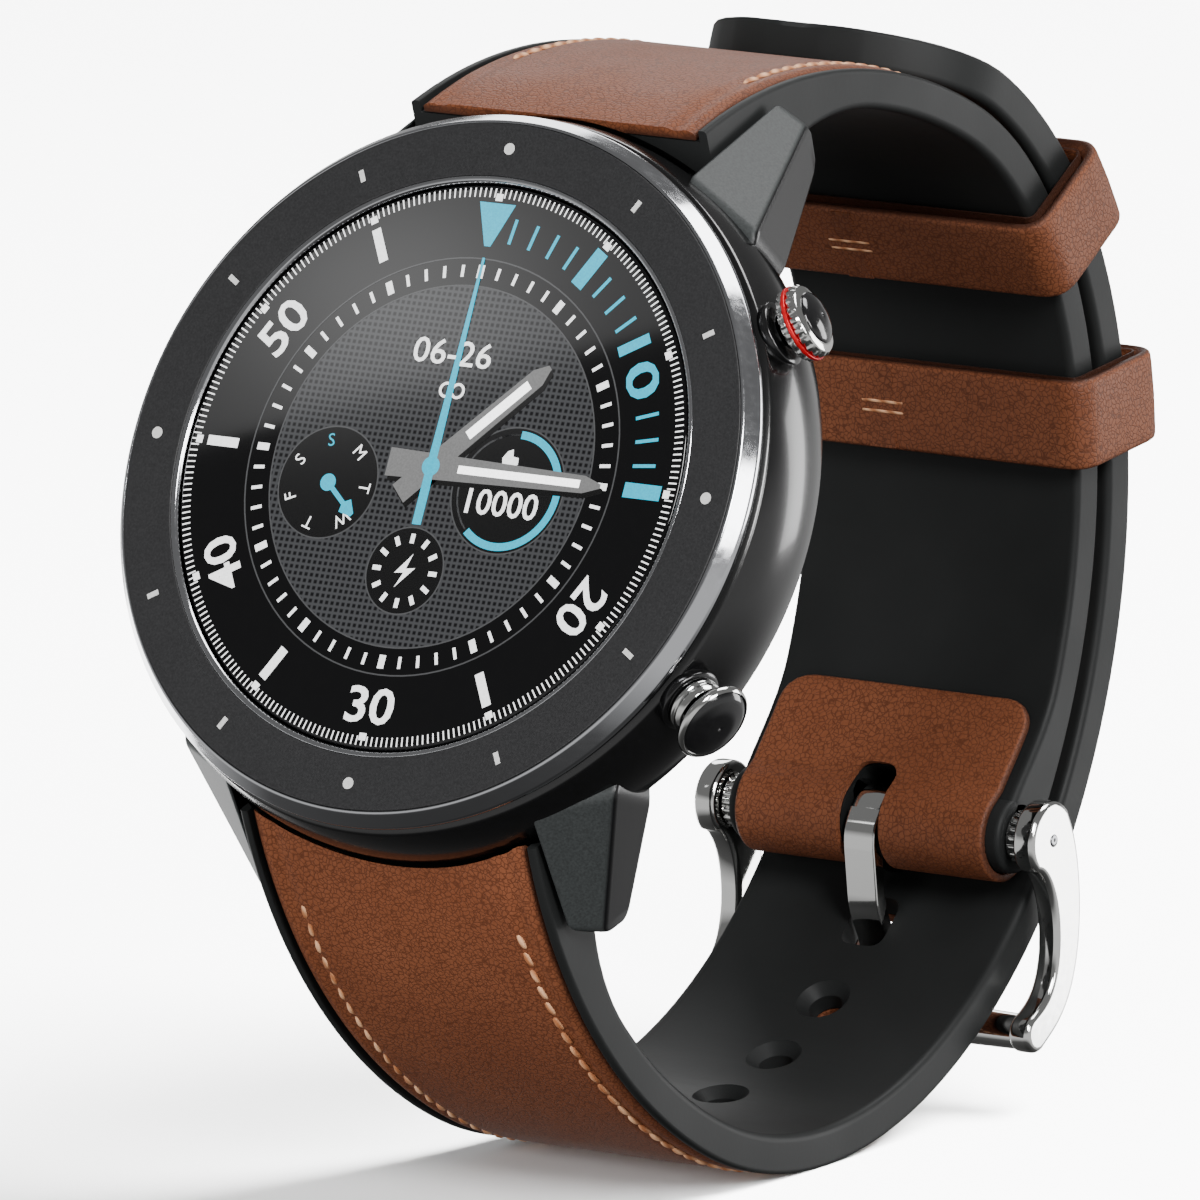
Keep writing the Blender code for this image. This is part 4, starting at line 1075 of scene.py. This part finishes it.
def make_buttons():
    knob = [
        (0.0, 2.35), (1.75, 2.35), (2.15, 2.22), (2.34, 1.95), (2.34, 1.6), (2.05, 1.57), (2.05, 1.28),
        (2.34, 1.25), (2.34, 0.95), (2.1, 0.75), (1.2, 0.75), (1.2, 1.55), (0.0, 1.55),
    ]
    turned(
        "crown_grip", knob, "steel", "crown", "steel", cut=0.08, steps=240, flutes=(20, 0.12, 0.85, 2.12),
        place=CROWN, stands_for=["crown_knob"],
    )
    ring = [(2.05, 1.56), (2.42, 1.54), (2.42, 1.31), (2.05, 1.29)]
    turned(
        "crown_band", ring, "red", "crown", "crown_red", cut=0.06, place=CROWN, stands_for=["crown_ring"]
    )
    dome = [(0.0, 2.84), (0.7, 2.8), (1.3, 2.66), (1.68, 2.44), (1.68, 2.3), (0.0, 2.3)]
    turned(
        "crown_dome", dome, "cap_black", "crown", "crown_cap_grey", cut=0.2, place=CROWN,
        stands_for=["crown_cap"],
    )
    cap = [
        (0.0, 2.98), (1.1, 2.9), (2.0, 2.66), (2.5, 2.22), (2.45, 1.95), (1.8, 1.75), (1.15, 1.75),
        (1.15, 2.4), (0.0, 2.4),
    ]
    turned(
        "pusher_head", cap, "cap_black", "pusher", "steel", cut=0.22, place=PUSHER,
        stands_for=["pusher_cap"],
    )
    rim = [(2.36, 2.5), (2.52, 2.3), (2.56, 2.15), (2.47, 1.93), (2.3, 2.1)]
    turned("pusher_rim", rim, "steel", "pusher", "steel", cut=0.05, place=PUSHER)
    collar = [(1.2, 1.2), (1.72, 1.2), (1.82, 0.75), (1.7, 0.6), (1.82, 0.45), (1.82, 0.26), (1.2, 0.26)]
    turned(
        "pusher_neck", collar, "steel", "case", "steel", cut=0.08, steps=96, place=PUSHER,
        stands_for=["pusher_collar"],
    )


# ---------------------------------------------------------------- display

SUNK = GLASS_TOP - 0.05
LAYER = 0.008
LEFT, RIGHT, LOWER = np.array((-7.1, -1.75)), np.array((5.9, -0.95)), np.array((0.0, -6.65))


def clock(radius, degrees):
    """Points at a radius, clockwise from 12 o'clock."""
    angle = np.radians(degrees)
    return radius * np.stack([np.sin(angle), np.cos(angle)], axis=-1)


def radial_bars(minutes, inner, outer, width, centre=(0.0, 0.0)):
    """Upright bars that point at the dial's centre, one for each minute: corners are the radius
    times the sine and cosine of the angle, plus and minus half the width across."""
    degrees = np.asarray(minutes, float)[:, None] * 6.0
    reach = np.array([inner, inner, outer, outer])[None, :, None]
    half = np.array([-0.5, 0.5, 0.5, -0.5])[None, :, None] * width
    return clock(1.0, degrees) * reach + clock(1.0, degrees + 90.0) * half + np.asarray(centre)


def drawn(outlines, level):
    """Flat signs of the display. Their tops are a hair above the glass, each level over the last,
    and they go down into it."""
    return prisms(outlines, SUNK, GLASS_TOP + LAYER * level)


def hoop(centre, radius, width, level, start=0.0, end=360.0):
    """A flat ring, or part of one, clockwise from 12 o'clock, as (points, faces)."""
    whole = end - start >= 360.0
    turn = np.linspace(start, end, 97)[:-1] if whole else np.linspace(start, end, 65)
    high = GLASS_TOP + LAYER * level
    section = [(-1, SUNK), (1, SUNK), (1, high), (-1, high)]
    rings = [
        np.insert(centre + clock(radius + side * width / 2, turn), 2, z, axis=1) for side, z in section
    ]
    grid = np.stack(rings, axis=1)
    faces = quads(len(grid), 4, wrap_rows=whole)
    if not whole:
        last = len(grid) * 4
        faces += [[0, 1, 2, 3], [last - 4, last - 3, last - 2, last - 1]]
    return grid, faces


def lettering(words, size, centre, turn, level, bold=0.02, squeeze=0.86):
    """A word as a solid of small height, centred on a point and turned clockwise, as (points,
    faces). Its outline is grown by bold for a heavier face."""
    curve = bpy.data.curves.new("word", "FONT")
    curve.body, curve.size, curve.offset = words, size, bold * size
    curve.extrude, curve.resolution_u = 0.01, 3
    obj = bpy.data.objects.new("word", curve)
    bpy.context.scene.collection.objects.link(obj)
    bpy.context.view_layer.update()
    mesh = bpy.data.meshes.new_from_object(obj.evaluated_get(bpy.context.evaluated_depsgraph_get()))
    bpy.data.objects.remove(obj, do_unlink=True)
    points = np.array([tuple(vertex.co) for vertex in mesh.vertices])
    middle = (points.max(axis=0) + points.min(axis=0)) / 2
    flat = (points - middle)[:, :2] * (squeeze, 1.0)
    place = flat[:, :1] * clock(1.0, turn + 90.0) + flat[:, 1:] * clock(1.0, turn) + centre
    z = np.where(points[:, 2] > middle[2], GLASS_TOP + LAYER * level, SUNK)
    return np.insert(place, 2, z, axis=1), [list(polygon.vertices) for polygon in mesh.polygons]


def disc(centre, radius, level, sides=96):
    turn = np.linspace(0.0, 2 * math.pi, sides, endpoint=False)
    return drawn([centre + radius * np.stack([np.cos(turn), np.sin(turn)], axis=1)], level)


def hand(angle, tail, shoulder, tip, width, tail_width):
    """A hand's outline: straight sides from a square tail, then a point."""
    way, side = clock(1.0, angle), clock(1.0, angle + 90.0)
    half = [(-tail, tail_width), (shoulder, width), (tip, width * 0.25)]
    outline = [(-tail, -tail_width), *half, (tip, -width * 0.25), (shoulder, -width)]
    return np.array([way * r + side * w for r, w in outline])


def screen(name, look, groups):
    settle(name, *join(*groups), look, "case", "display", sharp=30.0)


def make_display():
    glass = [(0.0, GLASS_TOP), (17.7, GLASS_TOP), (17.95, GLASS_TOP - 0.15), (17.95, -1.3), (0.0, -1.3)]
    turned(
        "display_glass", glass, "display", "case", "cover_glass", steps=240, stands_for=["cover_glass"]
    )
    screen("dial_weave", "weave", [disc((0.0, 0.0), 11.5, 1, 160)])
    hour = np.arange(0, 60, 5)
    single = [m for m in range(60) if m % 5]
    bars = (
        (np.arange(300) / 5.0, 17.15, 17.72, 0.085, 1),
        (hour, 16.95, 17.4, 0.5, 2),
        (single, 12.05, 12.8, 0.21, 2),
        (hour, 12.0, 12.85, 0.45, 2),
        ([25, 35, 45, 55], 14.3, 16.55, 0.62, 2),
    )
    white = [drawn(radial_bars(*shape), level) for *shape, level in bars]
    white.append(lettering("06-26", 2.25, (-0.5, 7.2), 0, 3, 0.005, 1.12))
    white.append(lettering("10000", 2.3, RIGHT + (-0.15, -0.85), 0, 4, 0.01, 0.98))
    white.append(drawn(radial_bars(hour, 1.75, 2.35, 0.3, LOWER), 3))
    for minute, turn in ((20, 120), (30, 0), (40, 240), (50, 300)):
        white.append(lettering(str(minute), 3.15, clock(15.2, minute * 6.0), turn, 2, 0.016, 1.15))
    for letter, turn in zip("MTWTFS", (40, 92, 143, 195, 246, 297)):
        white.append(lettering(letter, 1.15, LEFT + clock(2.72, turn), turn, 3, 0.0, 1.0))
    bolt = [(0.35, 1.15), (-0.75, -0.2), (-0.05, -0.12), (-0.5, -1.15), (0.75, 0.25), (0.05, 0.15)]
    white.append(drawn([LOWER + np.array(bolt) * 0.95], 3))
    shoe = [
        (-0.55, -0.5), (0.15, -0.65), (0.55, -0.35), (0.5, 0.05), (0.1, 0.1), (0.0, 0.55), (-0.35, 0.4),
        (-0.65, -0.05),
    ]
    white.append(drawn([RIGHT + (-0.3, 2.05) + np.array(shoe)], 4))
    white += [hoop(np.array((0.1 + shift, 4.85)), 0.42, 0.17, 3) for shift in (-0.42, 0.42)]
    screen("dial_white", "ink_white", white)
    pointer = clock(2.1, 129.0015) + hand(129, 0.3, 0.0, 0.85, 0.55, 0.0)[1:]
    cyan = [
        drawn(radial_bars([1, 2, 3, 4, 6, 7, 8, 12, 13, 14], 14.4, 16.0, 0.22), 2),
        drawn(radial_bars([5, 15], 14.1, 16.75, 0.95), 2),
        drawn([[(-1.32, 16.8), (-0.22, 14.05), (0.22, 14.05), (1.32, 16.8)]], 2),
        lettering("10", 3.15, clock(15.1, 60.0), 60, 2, 0.02, 1.55),
        lettering("S", 1.15, LEFT + clock(2.72, -10.8862), -11, 3, 0.0, 1.0),
        hoop(RIGHT, 3.55, 0.5, 3, 0.0, 219.0),
        disc(LEFT, 0.55, 4, 32),
        drawn([LEFT + hand(129, 0.0, 2.0, 2.2, 0.16, 0.16)], 4),
        drawn([LEFT + pointer], 4),
        drawn([hand(0, 3.7, 0.0, 13.3, 0.3, 0.3)], 9),
        disc((0.0, 0.0), 0.62, 9, 40),
    ]
    screen("dial_cyan", "ink_cyan", cyan)
    rings = (
        (np.zeros(2), 11.5, 0.09, 2), (np.zeros(2), 13.25, 0.09, 2), (LEFT, 3.55, 0.09, 3),
        (RIGHT, 4.0, 0.09, 3), (RIGHT, 3.55, 0.12, 2), (LOWER, 2.75, 0.09, 3),
    )
    screen("dial_lines", "ink_grey", [hoop(*ring) for ring in rings])
    wells = ((LEFT, 3.52), (RIGHT, 3.95), (LOWER, 2.72))
    screen("dial_wells", "ink_black", [disc(spot, radius, 2) for spot, radius in wells])
    hands = [hand(44, 2.7, 8.7, 9.7, 0.62, 0.75), hand(90, 3.15, 11.2, 12.4, 0.55, 0.9)]
    screen("hand_shadows", "hand_shade", [drawn([shape + (0.22, -0.3)], 4.25) for shape in hands])
    screen("hands_grey", "hand_grey", [drawn([shape], 5 + i) for i, shape in enumerate(hands)])
    inlays = [
        drawn(radial_bars([44 / 6.0], 3.0, 8.0, 0.62), 6), drawn(radial_bars([15], 2.0, 10.9, 0.5), 7)
    ]
    screen("hands_inlay", "hand_white", inlays)


# ---------------------------------------------------------------- back and inner parts


def screw_spots():
    return [(18.9 * math.cos(a), 18.9 * math.sin(a)) for a in np.radians((45, 135, 225, 315))]


def make_back():
    plate = [
        (8.3, -10.2), (20.8, -10.2), (20.8, -10.8), (20.3, -11.2), (9.4, -11.2), (9.2, -11.05),
        (8.3, -11.05),
    ]
    back = turned(
        "back_cover", plate, "back", "case", "inner_plastic", steps=200, stands_for=["case_back"]
    )
    cutters = []
    for index, (x, y) in enumerate(screw_spots()):
        cutters.append(rod(f"sink_{index}", (x, y, -10.75), (x, y, -12.0), 1.35))
        cutters.append(rod(f"bore_{index}", (x, y, -9.0), (x, y, -12.0), 0.8))
    for index, y in enumerate((-12.5, 12.5)):
        cutters.append(rod(f"pin_{index}", (0, y, -9.0), (0, y, -12.0), 1.05))
    carve(back, cutters)
    discard(cutters)
    window = [
        (0.0, -10.1), (8.0, -10.1), (8.0, -11.2), (7.2, -11.7), (5.6, -12.02), (3.0, -12.17), (0.0, -12.2)
    ]
    turned(
        "sensor_dome", window, "sensor", "case", "sensor_glass", cut=0.4, steps=144,
        stands_for=["sensor_window"],
    )
    for y, name in ((-12.5, "charge_pin_1"), (12.5, "charge_pin_2")):
        pin = [(0.0, -9.9), (0.85, -9.9), (0.85, -11.35), (0.0, -11.35)]
        place = Matrix.Translation((0.0, y, 0.0))
        turned(
            f"{name}_tip", pin, "gold", "case", "gold_pin", cut=0.2, steps=48, place=place,
            stands_for=[name],
        )
    make_screws()


def make_screws():
    """Countersunk screw heads with a cross recess."""
    for index, spot in enumerate(screw_spots()):
        place = Matrix.Translation((*spot, 0.0))
        outline = [
            (0.0, -8.3), (0.6, -8.3), (0.6, -10.85), (1.15, -10.85), (1.15, -11.15), (0.0, -11.15)
        ]
        name = f"back_screw_{index + 1}"
        head = turned(
            f"{name}_head", outline, "dark_steel", "case", "steel", cut=0.07, steps=48, place=place,
            stands_for=[name],
        )
        bars = []
        for turn in (0.3, 0.3 + math.pi / 2):
            way = np.array((math.cos(turn), math.sin(turn)))
            side = np.array((-way[1], way[0]))
            box = ((-0.7, -0.11), (0.7, -0.11), (0.7, 0.11), (-0.7, 0.11))
            outline = [way * a + side * b for a, b in box]
            bar = prisms([outline], -11.3, -10.95)
            bars.append(settle(f"recess_{len(bars)}", *bar, "steel", None, None, place=place))
        carve(head, bars)
        discard(bars)


INNER = {
    "seal": ("glass_gasket", "back_gasket", "crown_seal", "pusher_seal"),
    "moulding": ("mid_frame", "speaker", "crown_switch", "pusher_switch"),
    "board": ("main_board", "sensor_board"),
    "can": ("shield_can", "vibration_motor"),
    "foil": ("battery",),
    "film": ("display_flex",),
    "display": ("display_panel",),
    "dark_steel": (
        "crown_stem", "crown_plunger", "pusher_stem", "lug_bar_top", "lug_bar_bottom", "buckle_bar"
    ),
}


def dress_inner_parts():
    """The carried-over parts keep their shape and take a made finish."""
    for look, names in INNER.items():
        for name in names:
            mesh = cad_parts[name].data
            mesh.materials.clear()
            mesh.materials.append(FINISH[look])


# ---------------------------------------------------------------- studio


def softbox(name, spot, aim, size, power, colour="#ffffff"):
    lamp = bpy.data.lights.new(name, "AREA")
    lamp.shape, lamp.size, lamp.size_y = "RECTANGLE", *size
    lamp.energy, lamp.color = power, tone(colour)[:3]
    obj = bpy.data.objects.new(name, lamp)
    obj.location = spot
    obj.rotation_euler = (Vector(aim) - Vector(spot)).to_track_quat("-Z", "Y").to_euler()
    obj.visible_camera = False
    bpy.context.scene.collection.objects.link(obj)
    return obj


def glass_glow_card():
    """A pale card that only gloss sees. Its lower edge, mirrored in the cover glass, makes the
    slanting border between the grey and the black half of the dial. It lies level with the dial,
    and each dial point (x, y) sees the card at 1.4 times (x, y) plus a fixed shift."""
    x, y = np.meshgrid(np.linspace(-26.0, 26.0, 40), np.linspace(0.0, 1.0, 24))
    edge = 5.72 + 0.325 * x
    y = edge + (34.0 - edge) * y
    card_x, card_y = 1.4 * x - 278.0, 1.4 * y + 93.6
    points = np.stack([card_x, card_y, np.full_like(x, 402.0)], axis=-1)
    mesh = bpy.data.meshes.new("glow_card")
    mesh.from_pydata(points.reshape(-1, 3), [], quads(24, 40, wrap_around=False))
    glow = 0.34 + 0.66 * np.exp(-(((x + 7.0) ** 2) / 150.0 + ((y - 11.0) ** 2) / 70.0))
    mesh.attributes.new("glow", "FLOAT", "POINT").data.foreach_set("value", glow.ravel())
    mesh.transform(Matrix.Scale(0.001, 4) @ WATCH)
    start = {"Specular IOR Level": 0.0, "Emission Color": tone("#ffffff")}
    material, tree, shader, _ = new_finish("glow_card_paper", "#000000", 1.0, start)
    level = add(tree, ATTRIBUTE, attribute_name="glow").outputs["Fac"]
    power = add(tree, MATH, {0: level, 1: 3.5}, operation="MULTIPLY").outputs[0]
    feed(tree, shader, {"Emission Strength": power})
    mesh.materials.append(material)
    card = bpy.data.objects.new("glow_card", mesh)
    bpy.context.scene.collection.objects.link(card)
    card.visible_camera = card.visible_diffuse = card.visible_shadow = False


def make_surroundings():
    """Even light from everywhere, brighter at and below the horizon, like white paper, and dark
    straight down where the watch stands."""
    world = bpy.data.worlds.new("studio")
    world.use_nodes = True
    tree = world.node_tree
    way = add(tree, "ShaderNodeTexCoord").outputs["Generated"]
    height = add(tree, "ShaderNodeSeparateXYZ", {"Vector": way}).outputs[2]
    spread = add(tree, RANGE, {0: height, 1: -1.0, 2: 1.0}).outputs[0]
    ramp = add(tree, "ShaderNodeValToRGB", {0: spread})
    steps = ((0.0, 0.04), (0.18, 0.1), (0.32, 0.75), (0.49, 0.75), (0.6, 0.2), (1.0, 0.2))
    while len(ramp.color_ramp.elements) < len(steps):
        ramp.color_ramp.elements.new(0.5)
    for element, (spot, level) in zip(ramp.color_ramp.elements, steps):
        element.position, element.color = spot, (level, level, level, 1.0)
    feed(tree, tree.nodes["Background"], {0: ramp.outputs[0]})
    bpy.context.scene.world = world


def make_studio():
    floor = CAD_BOX[0][2]
    mesh = bpy.data.meshes.new("studio_floor")
    corners = [(-4, -4, floor), (4, -4, floor), (4, 6, floor), (-4, 6, floor)]
    mesh.from_pydata(corners, [], [(0, 1, 2, 3)])
    mesh.materials.append(new_finish("seamless_paper", "#fafafa", 0.9)[0])
    ground = bpy.data.objects.new("studio_floor", mesh)
    bpy.context.scene.collection.objects.link(ground)
    ground.visible_glossy = ground.visible_diffuse = ground.visible_shadow = False
    make_surroundings()
    softbox("key", (0.27, 0.45, 0.85), (0, 0, 0), (0.45, 0.45), 7.5)
    softbox("back_right", (0.55, 0.8, 0.02), (0, 0, 0), (0.35, 0.5), 4.5)
    softbox("near_right", (0.75, -0.5, 0.55), (0, 0, 0), (0.25, 0.4), 11.0)
    for name, spot, size, power in (
        ("rim_low_left", (-0.65, 0.31, -0.24), (0.3, 0.25), 1.4),
        ("rim_rear", (-0.42, 0.6, 0.45), (0.35, 0.3), 1.6),
        ("rim_right", (0.9, -0.16, 0.27), (0.3, 0.3), 4.0),
    ):
        softbox(name, spot, (0, 0, 0), size, power).visible_diffuse = False
    fill = softbox("front_fill", (-0.1, -1.0, 0.25), (0, 0, 0), (0.8, 0.5), 10.5)
    fill.visible_glossy = False
    only_floor = bpy.data.collections.new("paper_only")
    only_floor.objects.link(ground)
    paper = softbox("paper_light", (0.75, 0.5, 1.3), (0, 0, 0), (1.0, 1.0), 300.0)
    paper.light_linking.receiver_collection = only_floor
    glass_glow_card()


def make_camera():
    """Long lens, aimed so that the watch sits left of the middle."""
    data = bpy.data.cameras.new("camera")
    data.sensor_width, data.lens = 36.0, 36.0 * DISTANCE / FIELD
    data.clip_end = 20.0
    camera = bpy.data.objects.new("camera", data)
    bpy.context.scene.collection.objects.link(camera)
    back = WATCH.to_3x3() @ Vector((0.559, -0.188, 0.807)).normalized()
    right = Vector((0, 0, 1)).cross(back).normalized()
    up = back.cross(right)
    centre = WATCH.translation / 1000
    camera.location = centre + back * DISTANCE
    target = centre + right * 0.01035 - up * 0.00819
    camera.rotation_euler = (target - camera.location).to_track_quat("-Z", "Y").to_euler()
    bpy.context.scene.camera = camera


make_camera()
make_studio()
make_case()
make_bezel_marks()
make_display()
make_buttons()
make_straps()
for keeper in KEEPER_ANGLES:
    make_keeper(keeper)
make_buckle()
make_back()
dress_inner_parts()
